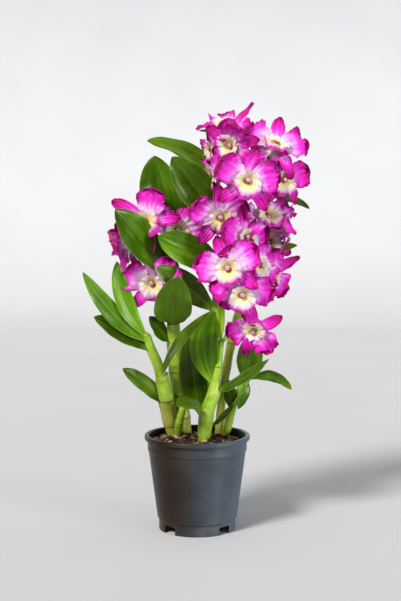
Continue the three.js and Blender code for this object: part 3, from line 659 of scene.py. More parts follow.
def lip_finish():
    """The lip: tan and yellow in its throat, cream and white beyond, and a magenta frill below."""
    f = Finish("lip", Subsurface_Weight=0.3, Subsurface_Scale=0.002, Specular_IOR_Level=0.15)
    out, below, side = f.kept("place")
    chance, turn_x, turn_y = f.kept("tone")
    streak = f.noise(f.join(turn_x * 8.0, turn_y * 8.0, chance * 30.0 + out), 1.0, 4.0, 0.6)
    cloud = f.noise(f.join(turn_x, turn_y, chance * 50.0 + out * 0.5), 0.9, 1.0)
    reach = out + (streak - 0.5) * 0.22 - (cloud - 0.5) * 1.1
    f.colour = reach.ramp(
        (0.00, "#E6B878"), (0.14, "#E2C07A"), (0.32, "#DCC688"),
        (0.50, "#D1C698"), (0.68, "#D6C6B2"), (0.90, "#D8BEC8"),
    )
    blot = (out - cloud * 0.12).step(0.10, 0.02) * below.step(0.2, 0.7)
    f.paint(blot * 0.8, "#6E1A46")
    rim = out + (streak - 0.5) * 0.34 + below**3.0 * 0.26 + (cloud - 0.5) * 0.35
    f.paint(rim.step(0.88, 1.02, 0.0, 0.6), "#CC7CC0")
    f.paint(rim.step(1.00, 1.13, 0.0, 0.95), "#B4108F")
    f.paint(side.step(0.2, -0.2, 0.0, 0.35), "#E9A6DF")
    pile = f.noise(f.where, 3200.0, 2.0)
    f.bump(pile * 0.5 + streak, 0.5, 0.0004)
    return f.done(pile.step(0.2, 0.8, 0.5, 0.75))


def fleshy_finish(name, low, high, grain_scale):
    """A small waxy organ, mottled between two colours."""
    f = Finish(name, Subsurface_Weight=0.1, Subsurface_Scale=0.001, Specular_IOR_Level=0.5)
    mottle = f.noise(f.where, grain_scale, 4.0)
    fine = f.noise(f.where, grain_scale * 4, 2.0)
    f.colour = mottle.ramp((0.32, low), (0.68, high))
    f.bump(mottle + fine * 0.5, 0.3, 0.0002)
    return f.done(fine.step(0.2, 0.8, 0.28, 0.5))


def anther_finish():
    """The cap on the column: pale in front, with a dark edge round it."""
    f = Finish("anther", Subsurface_Weight=0.1, Subsurface_Scale=0.001, Specular_IOR_Level=0.5)
    mottle = f.noise(f.where, 900.0, 3.0)
    f.colour = mottle.ramp((0.32, "#A46C84"), (0.68, "#CCA0A6"))
    ahead = f.kept("place")[0] + (mottle - 0.5) * 0.2
    f.paint(ahead.step(0.76, 0.66), "#6A1C40")
    f.bump(mottle, 0.3, 0.0002)
    return f.done(mottle.step(0.2, 0.8, 0.28, 0.5))


def leaf_finish():
    """Glossy leaves: faint parallel veins, a midrib, a thin light margin and a duller underside."""
    f = Finish("leaf", Specular_IOR_Level=0.26, Specular_Tint=(1, 1, 0.6, 1))
    along, across, side = f.kept("place")
    youth, chance, large = f.kept("tone")
    edge = abs(across)
    streak = f.noise(f.join(across * 5.0, along * 1.4, chance * 50.0), 1.0)
    cloud = f.noise(f.where, 26.0)
    blend = streak * 0.35 + cloud * 0.65
    old = blend.ramp((0.34, "#152700"), (0.50, "#2B4401"), (0.66, "#4B6604"))
    young = blend.ramp((0.34, "#345A00"), (0.50, "#4E8000"), (0.66, "#76A408"))
    f.colour = f.mix(youth, old, young)
    # Brighter yellow-green on the youngest shoots: partly their own colour, partly painted light on spears
    # that stand in shade.
    f.paint(youth.step(0.9, 1.0), blend.ramp((0.34, "#6A9A06"), (0.66, "#A4CC2C")))
    vein = abs((across * (large * 14.0 + 20.0)).apply("SINE")).step(0.30, 0.0)
    f.paint(vein * 0.04, "#8DB63E")
    # Painted shade: a darker band along the folded midrib, over the lower part of the blade.
    f.paint(edge.step(0.10, 0.02) * along.step(1.0, 0.6, 0.0, 0.35), "#223402")
    rib = edge.step(0.030, 0.008) * along.step(0.95, 0.1, 0.0, 0.7) * youth.step(0.6, 0.3, 0.3, 1.0)
    f.paint(rib, "#8FB43C")
    f.paint(edge.step(0.955, 1.0, 0.0, 0.5), "#8FA84A")
    f.paint(along.step(0.22, 0.0, 0.0, 0.55), "#86A830")
    f.paint(f.noise(f.where, 160.0, 2.0).step(0.68, 0.76, 0.0, 0.3), "#6F7018")
    f.paint(along.step(0.975, 1.0, 0.0, 0.5), "#6B5A22")
    f.paint(side.step(0.2, -0.2, 0.0, 0.35), "#5E7A20")
    f.bump(streak + f.noise(f.where, 1500.0, 2.0) * 0.10 - vein * 0.25, 0.25, 0.0005)
    return f.done(cloud.step(0.3, 0.7, 0.20, 0.36) + side.step(0.2, -0.2, 0.0, 0.2))


def cane_finish():
    """Canes: waxy yellow-green joints, mottled and papery towards the foot, with a few brown rings."""
    f = Finish("cane", Coat_Weight=0.12, **WAXY)
    joint, turn_x, turn_y = f.kept("place")
    yellow, height, dry = f.kept("tone")
    ribs = f.join(turn_x * 4.0, turn_y * 4.0, height * 6.0)
    streak = f.noise(ribs, 1.0, 4.0, 0.55)
    cloud = f.noise(f.where, 70.0)
    band = f.noise(f.join(0.0, yellow * 9.0, height * 9.0), 1.0, 2.0)
    blend = streak * 0.2 + cloud * 0.4 + band * 0.4
    green = blend.ramp((0.34, "#2E4604"), (0.5, "#566E0C"), (0.66, "#8AA02C"))
    bright = blend.ramp((0.34, "#5E800A"), (0.5, "#8AA818"), (0.66, "#B6C850"))
    f.colour = f.mix(yellow, green, bright)
    husk = (height - dry).step(0.006, -0.006) * f.noise(ribs, 0.8, 4.0).step(0.34, 0.60, 0.15, 0.85)
    f.paint(husk, streak.ramp(*HUSK))
    f.paint(joint.step(0.16, 0.02) * cloud.step(0.46, 0.64, 0.05, 0.75), "#94783E")
    # Darker brown at the foot of each cane: partly its dry scales, partly painted shade near the bed.
    f.paint(height.step(0.07, 0.0, 0.0, 0.7), "#5E3A20")
    ring = joint.step(0.050, 0.015).apply("MAXIMUM", joint.step(0.97, 0.99))
    f.paint(ring * cloud.step(0.38, 0.56, 0.35, 0.9), "#5A3C1C")
    f.bump(f.noise(f.where, 900.0) * 0.2 + streak * 0.9, 0.25, 0.0006)
    return f.done(cloud.step(0.3, 0.7, 0.28, 0.5))


def sheath_finish():
    """The clasping foot of a leaf: thin, ribbed, the green of its cane, dry here and there at its rim."""
    f = Finish("sheath", Coat_Weight=0.1, **WAXY)
    along, turn_x, turn_y = f.kept("place")
    youth, chance, papery = f.kept("tone")
    streak = f.noise(f.join(turn_x * 6.0, turn_y * 6.0, chance * 20.0), 1.0, 4.0)
    cloud = f.noise(f.where, 70.0)
    blend = streak * 0.3 + cloud * 0.7
    old = blend.ramp((0.34, "#68881A"), (0.66, "#A2BA42"))
    young = blend.ramp((0.34, "#60920A"), (0.66, "#94BE22"))
    f.colour = f.mix(youth, old, young)
    f.paint(papery * cloud.step(0.30, 0.56, 0.35, 0.95), streak.ramp(*HUSK))
    dry = (along + (streak - 0.5) * 0.3).step(0.88, 1.0, 0.0, 0.6)
    f.paint(dry * cloud.step(0.4, 0.6), "#B9AE7C")
    f.paint(along.step(0.12, 0.0, 0.0, 0.35), "#7C6A34")
    f.bump(streak, 0.2, 0.0004)
    return f.done(streak.step(0.3, 0.7, 0.32, 0.5))


def bark_finish():
    """Bark chips from near black to tan, a few of them pale, fibrous, with crumbs of grit."""
    f = Finish("bark", Specular_IOR_Level=0.25)
    chance, light, _ = f.kept("tone")
    grain = f.noise(f.where, 420.0, 6.0, 0.65)
    fibre = f.noise(f.scaled(260.0, 900.0, 500.0), 1.0)
    tint = chance + (grain - 0.5) * 0.5
    f.colour = tint.ramp(
        (0.05, "#070403"), (0.42, "#140B06"), (0.68, "#2E1A12"),
        (0.86, "#50321F"), (0.98, "#80604A"),
    )
    f.paint(light, grain.ramp((0.3, "#86694C"), (0.7, "#C0AC90")))
    pits = f.value("ShaderNodeTexVoronoi", {"Vector": f.where, "Scale": 700.0})
    f.paint(pits.step(0.18, 0.0, 0.0, 0.5), "#140D0A")
    f.bump(grain + fibre * 0.8, 0.8, 0.0012)
    return f.done(grain.step(0.3, 0.7, 0.7, 0.95))


def pot_finish():
    """Charcoal plastic, scuffed, with a dusty foot, painted reflections (brown at left, blue-grey at right)
    and painted shade inside.
    """
    gloss = {"Specular_IOR_Level": 0.26, "Specular_Tint": (1, 0.88, 0.76, 1)}
    f = Finish("pot_plastic", Anisotropic=0.65, Anisotropic_Rotation=0.25, **gloss)
    x, y, z = f.parts(f.where)
    wash = f.noise(f.where, 22.0, 4.0, 0.6)
    grain = f.noise(f.where, 2400.0, 2.0)
    rings = f.noise(f.join(0.0, 0.0, z * 900.0), 1.0)
    scuff = f.noise(f.scaled(60.0, 60.0, 900.0), 1.0, 4.0)
    # Painted reflections, not the plastic's own colour: warm brown down the left side, cool blue-grey down
    # the right, blended across x.
    painted_warm_reflection = wash.ramp((0.3, "#120902"), (0.5, "#190F05"), (0.72, "#221709"))
    painted_cool_reflection = wash.ramp((0.3, "#3A434C"), (0.5, "#434D58"), (0.72, "#4D5863"))
    f.colour = f.mix((x + (wash - 0.5) * 0.006).step(-0.035, 0.05), painted_warm_reflection, painted_cool_reflection)
    f.paint(scuff.step(0.60, 0.74, 0.0, 0.25), "#3C3E41")
    f.paint(z.step(0.02, 0.0) * wash.step(0.4, 0.7, 0.04, 0.25), "#6B655C")
    # Painted shade: the inner wall above the shoulder, round the bed, is darkened almost to black.
    inside = (x * x + y * y).apply("SQRT").step(INNER_RADIUS + 0.0007, INNER_RADIUS)
    f.paint(inside * z.step(SHOULDER - 0.002, SHOULDER + 0.0005) * 0.85, "#060606")
    f.bump(rings * 0.6 + grain * 0.35, 0.35, 0.0004)
    return f.done(wash.step(0.3, 0.7, 0.40, 0.48) + scuff.step(0.58, 0.74, 0.0, 0.12))


# ---- Pot and bed ----


def rounded(corners, radius, steps=5):
    """A profile with its inner corners rounded, less where the way to the next corner is short."""
    corners = [np.array(c, float) for c in corners]
    made = [corners[0]]
    for before, corner, after in zip(corners, corners[1:], corners[2:]):
        into, out = before - corner, after - corner
        cut = min(radius, np.linalg.norm(into) * 0.45, np.linalg.norm(out) * 0.45)
        start, end = corner + unit(into) * cut, corner + unit(out) * cut
        t = np.linspace(0, 1, steps)[:, None]
        made += list((1 - t) ** 2 * start + 2 * t * (1 - t) * corner + t**2 * end)
    return [*made, corners[-1]]


def drain_cutter(width, height, corner, turn):
    """A block with rounded upper corners through the pot's foot ring."""
    arc = np.linspace(0, math.pi / 2, 6)
    side = width / 2 - corner * (1 - np.cos(arc))
    rise = height - corner * (1 - np.sin(arc))
    across = np.concatenate([[-width / 2, width / 2], side, -side[::-1]])
    up = np.concatenate([[-height, -height], rise, rise[::-1]])
    out = np.array([[-DRAIN.reach], [DRAIN.reach]]) + POT.foot_radius
    c, s = math.cos(turn), math.sin(turn)
    shell = Shell()
    shell.tube(stacked(out * c - across * s, out * s + across * c, up), 0)
    return shell


def pot(materials):
    under = POT.height - POT.rim_height
    inner_foot = POT.foot_radius - POT.wall
    floor_top = POT.floor_height + POT.wall
    corners = [
        (0, POT.floor_height),
        (inner_foot, POT.floor_height),
        (inner_foot, 0),
        (POT.foot_radius, 0),
        (POT.foot_radius, POT.foot_height),
        (POT.body_foot_radius, POT.foot_height + POT.foot_slope),
        (POT.body_top_radius - POT.shoulder_step, SHOULDER),
        (POT.body_top_radius, SHOULDER + POT.shoulder_slope),
        (POT.body_top_radius, under),
        (POT.rim_radius, under),
        (POT.rim_radius, POT.height),
        (INNER_RADIUS, POT.height),
        (INNER_RADIUS, SHOULDER + POT.shoulder_slope),
        (inner_foot + POT.foot_flare, floor_top),
        (0, floor_top),
    ]
    shell = Shell()
    shell.lathe(rounded(corners, POT.rounding), POT.segments)
    piece = show("nursery_pot", shell.mesh("nursery_pot", materials))
    for k in range(2 * DRAIN.slots):
        size = DRAIN.slot if k % 2 else DRAIN.nick
        cutter_shell = drain_cutter(*size, math.pi * k / DRAIN.slots - math.pi / 2)
        cutter = show("cutter", cutter_shell.mesh("cutter", materials))
        cut = piece.modifiers.new("drain", "BOOLEAN")
        cut.object = cutter
        cut.operation = "DIFFERENCE"
        solid = bpy.data.meshes.new_from_object(piece.evaluated_get(bpy.context.evaluated_depsgraph_get()))
        piece.modifiers.clear()
        piece.data = solid
        bpy.data.objects.remove(cutter)
    piece.data.name = "nursery_pot"
    piece.data.set_sharp_from_angle(angle=math.radians(POT.crease))
    stand_for(piece, "pot")


def bark_relief(x, y, share_out):
    """How far the top of the bed stands above its level, less towards its rim."""
    coarse = np.sin(x * 410 + 1.3) * np.cos(y * 370 - 0.6)
    fine = np.sin(x * 930 - y * 710) * np.cos(y * 1030 + x * 290)
    return SOIL.relief * (0.6 * coarse + 0.5 * fine) * (1 - share_out**6)


def bed(materials, draw):
    """The pot's fill: one solid of packed bark under a litter of loose chips."""
    gap = SOIL.gap
    radius = INNER_RADIUS - gap
    foot = POT.foot_radius - POT.wall + POT.foot_flare - gap
    floor = POT.floor_height + POT.wall + gap
    shoulder = SHOULDER + POT.shoulder_slope + gap
    top = [(radius * k / SOIL.rings, SOIL.level) for k in range(SOIL.rings, -1, -1)]
    shell = Shell()
    shell.lathe([(0, floor), (foot, floor), (radius, shoulder), *top], SOIL.segments, (SOIL.tone, 0, 0))
    for points in shell.points:
        high = points[:, 2] > SOIL.level - 1e-4
        x, y = points[high, 0], points[high, 1]
        points[high, 2] += bark_relief(x, y, np.hypot(x, y) / radius) - SOIL.sunk
    feet = [(*spec.axis[0][:2], spec.radii[0]) for spec in CANES.values()]
    for _ in range(CHIPS.count):
        chip(shell, draw, radius, feet)
    piece = show("bark_bed", shell.mesh("bark_bed", materials, CHIPS.crease))
    stand_for(piece, "soil")


def chip(shell, draw, bed_radius, feet):
    """One chip of bark at a random place on the bed, clear of the pot's wall and the canes' feet."""
    long = draw.uniform(*CHIPS.long)
    wide = long * draw.uniform(*CHIPS.wide)
    thick = draw.uniform(*CHIPS.thick)
    way = draw.uniform(0, math.tau)
    out = (bed_radius - long * 0.55 - CHIPS.clear) * math.sqrt(draw.uniform(0, 1))
    x, y = out * math.cos(way), out * math.sin(way)
    turn, tip, lean = draw.uniform(0, math.tau), draw.normal(0, CHIPS.tilt), draw.normal(0, CHIPS.tilt)
    jitter = 1 + draw.uniform(-CHIPS.ragged, CHIPS.ragged, CHIPS.sides)
    chance, light = draw.uniform(0, 1), draw.uniform(0, 1)
    if any(math.hypot(x - fx, y - fy) < r + long * 0.25 for fx, fy, r in feet):
        return
    angle = circle(CHIPS.sides)
    rim = stacked(np.cos(angle) * long / 2 * jitter, np.sin(angle) * wide / 2 * jitter)
    loops = np.array([[(*(q * s), h * thick / 2) for q in rim] for h, s in CHIPS.levels])
    loops[..., 2] += loops[..., 0] * tip + loops[..., 1] * lean
    c, s = math.cos(turn), math.sin(turn)
    turned = loops @ np.array([[c, s, 0], [-s, c, 0], [0, 0, 1]])
    high = SOIL.level + bark_relief(x, y, out / bed_radius) + thick * 0.25
    shell.tube(turned + (x, y, high), 0, tone=(chance, float(light > CHIPS.pale), 0))


# ---- Leafy canes ----


def node_count(spline):
    return round(spline.length / CANE.internode)


def cane_radius(spec, spline, u):
    """The cane's radius along it, swollen at each node, with the share of the joint that u lies at."""
    radii = np.array(spec.radii)
    nodes = node_count(spline)
    taper = np.interp(u * (len(radii) - 1), np.arange(len(radii)), radii)
    nearness = np.abs(np.cos(math.pi * u * nodes)) ** 3
    joint = (u * nodes) % 1.0
    return taper * between(CANE.waist, CANE.node_swell, nearness), joint


def cane(shell, spec, spline, draw):
    """The jointed stem: a groove and a collar at each node, faint ribs and a rounded end."""
    nodes = node_count(spline)
    u = np.array([(k + s) / nodes for k in range(nodes) for s in CANE.rings])
    radius, joint = cane_radius(spec, spline, u)
    groove = np.exp(-((joint / 0.012) ** 2)) + np.exp(-(((1 - joint) / 0.008) ** 2))
    collar = np.exp(-(((joint - 0.045) / 0.03) ** 2)) + 1.3 * np.exp(-(((joint - 0.975) / 0.02) ** 2))
    radius = radius * (1 - CANE.groove * groove + CANE.collar * collar)
    turn = circle(CANE.sides)
    phase = draw.uniform(0, math.tau)
    fine, broad = CANE.ribs
    ribs = 1 + fine * np.cos(9 * turn + phase + 2 * u[:, None]) + broad * np.cos(4 * turn - phase)
    end_u = 1 + np.array([0, 0.4, 0.7, 0.9]) * radius[-1] / spline.length
    end_radius = radius[-1] * np.array([0.97, 0.8, 0.5, 0.18])
    way = spline.directions([1.0])
    ends = spline.places([1.0]) + (end_u - 1)[:, None] * spline.length * way
    places = np.concatenate([spline.places(u), ends])
    ways = np.concatenate([spline.directions(u), np.repeat(way, len(end_u), axis=0)])
    radii = np.concatenate([radius[:, None] * ribs, end_radius[:, None] * ribs[-1:]])
    joints = np.concatenate([joint, np.full(len(end_u), 0.9)])[:, None]
    heights = np.concatenate([u, np.ones(len(end_u))])[:, None]
    place = stacked(joints, np.cos(turn), np.sin(turn))
    tone = stacked(spec.tone, heights, spec.dry)
    shell.tube(loops_round(places, ways, radii, CANE.sides), 0, place, tone)


def outline(u, width, base, widest, blunt, power, ease=1.0):
    """Half-width along a blade: rises from a narrow base to its widest point, then rounds to its tip."""
    rise = base + (1 - base) * np.sin(np.clip(u / widest, 0, 1) * math.pi / 2) ** ease
    past = np.clip((u - widest) / (1 - widest), 0, 1)
    return width / 2 * np.where(u < widest, rise, np.maximum(1 - past**blunt, 1e-4) ** power)


def blade_axes(ways, face):
    """The directions across a blade and out of its face, at each row."""
    side = unit(np.cross(ways, unit(face)))
    return side, np.cross(side, ways)


def blade_grid(places, side, up, spread, lift):
    return places[:, None] + side[:, None] * spread[..., None] + up[:, None] * lift[..., None]


def leaf(shell, spec, spline, leaf_spec, draw):
    """A strap leaf, folded along its midrib and clasping at its foot, with its sheath round the cane."""
    base = spline.places([spline.share_at(leaf_spec.at)])[0]
    tip = np.array(leaf_spec.tip)
    middle = (base + tip) / 2 + 2 * np.array(leaf_spec.bend)
    u = 1 - (1 - np.linspace(0, 1, LEAF.rows)) ** LEAF.crowd
    v = np.linspace(-1, 1, LEAF.columns + 1)
    places, ways = bezier(base, middle, tip, u)
    side, up = blade_axes(ways, leaf_spec.face)
    shape = (leaf_spec.width, leaf_spec.base, LEAF.widest, LEAF.blunt, LEAF.point, LEAF.ease)
    half = outline(u, *shape)[:, None]
    phase = draw.uniform(0, math.tau, 3)
    u = u[:, None]
    crease = np.sqrt(v**2 + LEAF.crease) - math.sqrt(LEAF.crease)
    fold = np.radians(between(leaf_spec.fold, LEAF.clasp, smooth(0.22, 0.0, u)))
    waves = wave(1.6 * u, phase[0] + 1.1 * v) + 0.4 * wave(3.7 * u, phase[1] - v)
    waves = LEAF.waves * leaf_spec.width * np.abs(v) ** 2.2 * waves
    ribs = LEAF.ribs * np.cos(v * math.pi * 6) * smooth(0.0, 0.2, u) * smooth(1.0, 0.8, u)
    lift = half * (crease * np.sin(fold) - 0.10 * np.abs(v) ** 3) + waves + ribs
    grid = blade_grid(places, side, up, half * v * np.cos(fold), lift)
    thin = LEAF.thickness * (0.35 + 0.65 * (1 - v**4)) * (1 - 0.4 * u)
    tone = (leaf_spec.youth, draw.uniform(0, 1), min(leaf_spec.width / LEAF.large, 1))
    shell.sheet(grid, np.minimum(thin, half * 1.2 + 0.0001), stacked(u, v, 1), tone, 1)
    sheath(shell, spec, spline, leaf_spec, tip - base, tone)


def sheath(shell, spec, spline, leaf_spec, way, tone):
    """The leaf's foot wraps the cane below it and rises on the leaf's side, papery where its cane is."""
    top = spline.share_at(leaf_spec.at)
    tone = (*tone[:2], float(top < spec.dry))
    rows = np.linspace(0, 1, SHEATH.rows)
    u = np.clip(top - SHEATH.length / spline.length * (1 - rows), 0.01, 0.985)
    rows = rows[:, None]
    radius, _ = cane_radius(spec, spline, u)
    turn = circle(SHEATH.sides)
    ways = spline.directions(u)
    loops = loops_round(spline.places(u), ways, radius * 1.03 + SHEATH.clear, SHEATH.sides)
    outward = unit(loops[-1] - loops[-1].mean(axis=0))
    facing = outward @ unit(way)
    rise = SHEATH.lift * smooth(-0.6, 0.9, facing)
    loops = loops + ways[:, None] * (rise * rows**2)[..., None]
    loops = loops + outward * (SHEATH.flare * smooth(0.2, 0.9, facing) * rows**3)[..., None]
    place = stacked(rows, np.cos(turn), np.sin(turn))
    thickness = np.full(loops.shape[:2], SHEATH.thickness)
    shell.sheet(loops[:, ::-1], thickness, place[:, ::-1], tone, 2, around=True)


def leafy_cane(name, materials, draw):
    spec = CANES[name]
    spline = splines[name]
    shell = Shell()
    cane(shell, spec, spline, draw)
    for leaf_spec in LEAVES.get(name, []):
        leaf(shell, spec, spline, leaf_spec, draw)
    piece = show(f"leafy_{name}", shell.mesh(f"leafy_{name}", materials))
    stand_for(piece, name)


# ---- Blooms ----


def bloom_axes(bloom):
    """Right, up and out of a bloom's face, as rows, scaled to its size."""
    azimuth, elevation, roll = (math.radians(a) for a in (*bloom.look, bloom.roll))
    ahead = math.cos(elevation)
    out = np.array([math.sin(azimuth) * ahead, -math.cos(azimuth) * ahead, math.sin(elevation)])
    level = unit(np.array([0, 0, 1]) - out * out[2])
    up = level * math.cos(roll) + np.cross(out, level) * math.sin(roll)
    return np.array([np.cross(up, out), up, out]) * bloom.size


def tepal(shell, bloom, axes, index, draw):
    """A petal or sepal that leaves the hub at its angle, ruffled more towards its edge."""
    angle, blade, cup = TEPALS[index]
    own_lift, stretch = bloom.own.get(index, (0, 1))
    turn = math.radians(angle + draw.normal(0, TEPAL.askew))
    rise = math.radians(cup * bloom.cup)
    length = blade.length * stretch
    twist, curl, sway = draw.normal(0, (TEPAL.twist, blade.curl, TEPAL.sway))
    phase = draw.uniform(0, math.tau, 6)

    def reach(distance, lift, aside=0.0):
        flat = distance * math.cos(rise)
        forward = (distance - TEPAL.root_radius) * math.sin(rise) + blade.layer + lift
        right, up = math.sin(turn), math.cos(turn)
        return np.array([flat * right + aside * up, flat * up - aside * right, forward])

    root = reach(TEPAL.root_radius, 0)
    middle = reach(length * 0.55, TEPAL.arch - curl * length * 0.4)
    tip_lift = own_lift + curl * length * 0.6 - TEPAL.droop
    tip = reach(length * (1 - abs(sway) * 0.2), tip_lift, sway * length)
    u = 1 - (1 - np.linspace(0, 1, blade.rows)) ** TEPAL.crowd
    places, ways = bezier(root, middle, tip, u)
    u = u[:, None]
    v = np.linspace(-1, 1, blade.columns + 1)[None]
    side, up = blade_axes(ways, (0, 0, 1))
    bank = twist * u
    side, up = side * np.cos(bank) + up * np.sin(bank), up * np.cos(bank) - side * np.sin(bank)
    half = outline(u, blade.width, blade.base, blade.widest, blade.blunt, blade.point)
    ragged = wave(6.3 * u, phase[2] + 1.7 * np.sign(v)) + wave(11.7 * u, phase[3])
    half = half * (1 + blade.frill * 13 * ragged * u)
    edge = 1 - (1 - v**2) * (1 - smooth(0.70, 1.0, u) ** 2)
    broad = wave(2.4 * u + 0.6 * u * v, phase[0] + 1.5 * v)
    narrow = wave(5.7 * u + 2.6 * u**2 * v, phase[1] + 2.6 * v)
    fine = wave(10.9 * u - 4.1 * u**2 * v, phase[4] - 1.9 * v)
    fold = math.radians(TEPAL.fold)
    lift = half * (np.sqrt(v**2 + 0.01) - 0.1) * math.sin(fold)
    lift = lift + blade.wave * v**2 * u * np.cos(3 * math.pi * u)
    lift = lift + blade.ruffle * edge**1.4 * np.sqrt(u) * broad
    lift = lift + blade.frill * edge**2.2 * u * (1.7 * narrow + 0.5 * fine)
    lift = lift + TEPAL.pleat * np.sin(4.5 * math.pi * v + phase[5]) * smooth(0.1, 0.5, u)
    grid = blade_grid(places, side, up, half * v * math.cos(fold), lift)
    thin = TEPAL.thickness * (0.45 + 0.55 * (1 - v**4)) * (1 - 0.35 * u)
    tone = (bloom.shade, float(blade is PETAL), draw.uniform(0, 1))
    shell.sheet(grid @ axes + bloom.at, thin * bloom.size, stacked(u, v, 1), tone, 0)


def nodded(points, bloom, axes):
    """A lip's, hub's or column's points in the plant's frame, turned up about the lip's foot by the nod."""
    c, s = math.cos(math.radians(bloom.nod)), math.sin(math.radians(bloom.nod))
    foot = np.array([0, 0, LIP.foot])
    turned = (points - foot) @ np.array([[1, 0, 0], [0, c, -s], [0, s, c]]) + foot
    return turned @ axes + bloom.at


def waved(waves, turn, phase):
    """A sum of waves round a circle, each given by its count and size."""
    return sum(size * np.sin(count * turn + p) for (count, size), p in zip(waves, phase))


def lip(shell, bloom, axes, draw):
    """The lip: a funnel round the column that opens to a frilled disc, longer below."""
    s = np.linspace(0, 1, LIP.rows)[:, None]
    phase = draw.uniform(0, math.tau, 8)
    turn = circle(LIP.columns)[None]
    weights = [(1 - s) ** 3, 3 * s * (1 - s) ** 2, 3 * s**2 * (1 - s), s**3]
    radius, height = (sum(w * r for w, r in zip(weights, row)) for row in zip(*LIP.section))
    below = (1 - np.cos(turn)) / 2
    ragged = waved(LIP.ragged, turn, phase)
    radius = radius * (1 + s**2.5 * (ragged - 0.13 * (1 - below) ** 2 + 0.16 * below**4))
    ruffle = waved(LIP.ruffle, turn, phase[3:]) + LIP.sway * np.cos(3 * turn)
    lobes = np.exp(-(((np.abs(np.sin(turn / 2)) - 0.42) / 0.22) ** 2))
    height = height + s**3 * ruffle - LIP.hang * s**4 * below**4 + LIP.lobes * s * (1 - s**2) * lobes
    back = LIP.lean * LIP.section[-1][0] * s**1.5
    grid = stacked(radius * np.sin(turn), radius * np.cos(turn) - back, height)
    tone = stacked(draw.uniform(0, 1), np.cos(turn), np.sin(turn))
    thin = LIP.thickness * (1 - 0.5 * s) * np.ones_like(turn) * bloom.size
    shell.sheet(nodded(grid, bloom, axes), thin, stacked(s, below, 1), tone, 1, around=True)


def ball(shell, centre, radii, sides, finish, bloom, axes):
    """A small rounded lump in a bloom's frame."""
    t = np.linspace(0.06, 0.94, 9)[:, None]
    turn = circle(sides)[None]
    wide = np.sin(math.pi * t)
    shape = stacked(wide * np.cos(turn), wide * np.sin(turn), -np.cos(math.pi * t))
    loops = np.array(centre) + np.array(radii) * shape
    shell.tube(nodded(loops, bloom, axes), finish, t[:, :, None], (0.5, 0, 0))


def heart(shell, bloom, axes):
    """The hub behind the petals, the column in the throat with its anther cap, and the pedicel."""
    ball(shell, (0, 0, HUB.middle), HUB.radii, HUB.sides, 2, bloom, axes)
    t = np.linspace(0, 1, COLUMN.rings)[:, None]
    turn = circle(COLUMN.sides)
    radii = COLUMN.radius * (1 + 0.45 * t - 0.95 * t**7)
    height = between(COLUMN.foot, COLUMN.top, t)
    loops = stacked(radii * np.cos(turn), COLUMN.lean * t + radii * np.sin(turn) * 0.8, height)
    shell.tube(nodded(loops, bloom, axes), 3, (0, 0, 1), (0.5, 0, 0))
    cap = (0, COLUMN.lean - ANTHER.drop, ANTHER.out)
    ball(shell, cap, ANTHER.radii, ANTHER.sides, 4, bloom, axes)
    spline = splines[bloom.cane]
    start = spline.places([spline.share_at(bloom.start)])[0]
    bend, end = (np.array([0, 0, -drop]) @ axes + bloom.at for drop in (PEDICEL.bend, PEDICEL.end))
    t = np.linspace(0, 1, PEDICEL.rings)
    places, ways = bezier(start, bend, end, t)
    radii = between(PEDICEL.radius, PEDICEL.flare, smooth(0.72, 1.0, t))
    loops = loops_round(places, ways, radii * bloom.size, PEDICEL.sides)
    shell.tube(loops, 2, (0, 0, 1), (0.5, 0, 0))


def flower(number, bloom, materials, draw):
    shell = Shell()
    axes = bloom_axes(bloom)
    for index in range(len(TEPALS)):
        tepal(shell, bloom, axes, index, draw)
    lip(shell, bloom, axes, draw)
    heart(shell, bloom, axes)
    piece = show(f"flower_{number:02d}", shell.mesh(f"flower_{number:02d}", materials))
    stand_for(piece, f"bloom_{number:02d}")


# ---- Stage ----


def sun(name, place, spread, power, colour):
    """A soft distant lamp that shines from a place towards the pot."""
    data = bpy.data.lights.new(name, "SUN")
    data.angle = math.radians(spread)
    data.energy = power
    data.color = colour
    x, y, z = place
    show(name, data).rotation_euler = (math.atan2(math.hypot(x, y), z), 0, math.atan2(x, -y))


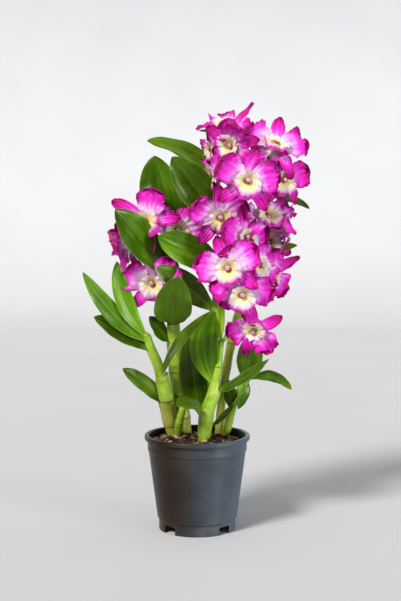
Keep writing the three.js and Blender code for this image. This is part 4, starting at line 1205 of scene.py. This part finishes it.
def sweep():
    """A plain pale floor that curves up into a wall far behind the plant."""
    f = Finish("floor_paper", Specular_IOR_Level=0.1)
    tint = f.noise(f.where, 3.0, 2.0)
    f.colour = tint.ramp((0.3, "#B3B3B4"), (0.7, "#B7B7B8"))
    f.bump(f.noise(f.where, 900.0), 0.1, 0.0003)
    paper = f.done(tint.step(0.3, 0.7, 0.8, 0.9))
    bend = np.linspace(0, math.pi / 2, SWEEP.steps)
    curve = [(SWEEP.start + SWEEP.radius * math.sin(a), SWEEP.radius * (1 - math.cos(a))) for a in bend]
    profile = [(SWEEP.front, 0), *curve, (curve[-1][0], SWEEP.top)]
    points = [(side * SWEEP.half_width, y, z) for y, z in profile for side in (-1, 1)]
    faces = [(k, k + 1, k + 3, k + 2) for k in range(0, len(points) - 2, 2)]
    mesh = bpy.data.meshes.new("floor")
    mesh.from_pydata(points, [], faces)
    mesh.materials.append(paper)
    mesh.shade_smooth()
    show("floor", mesh)


def studio():
    """The floor, a pale sky, soft lamps and the photograph's camera."""
    sweep()
    world = bpy.data.worlds.new("studio")
    bpy.context.scene.world = world
    world.use_nodes = True
    backdrop = world.node_tree.nodes["Background"]
    backdrop.inputs["Color"].default_value = rgb(SKY.colour)
    backdrop.inputs["Strength"].default_value = SKY.strength
    for name, lamp in LAMPS.items():
        sun(name, *lamp)
    data = bpy.data.cameras.new("camera")
    data.lens = CAMERA.lens
    data.sensor_width = CAMERA.sensor
    camera = show("camera", data)
    camera.location = CAMERA.place
    camera.rotation_euler = (math.pi / 2 - CAMERA.tilt, 0, 0)
    bpy.context.scene.camera = camera
    bpy.context.scene.view_settings.view_transform = "Standard"


# ---- The plant ----

splines = {name: Spline(spec.axis) for name, spec in CANES.items()}
draws = np.random.default_rng(SEED)

pot([pot_finish()])
bed([bark_finish()], draws)
foliage = [cane_finish(), leaf_finish(), sheath_finish()]
for cane_name in CANES:
    leafy_cane(cane_name, foliage, draws)
petals = [
    tepal_finish(),
    lip_finish(),
    fleshy_finish("stalk", "#A8B878", "#D9B4CF", 260.0),
    fleshy_finish("column", "#D2C09A", "#E4D4C4", 500.0),
    anther_finish(),
]
for bloom_number, bloom_spec in enumerate(BLOOMS, 1):
    flower(bloom_number, bloom_spec, petals, draws)
studio()
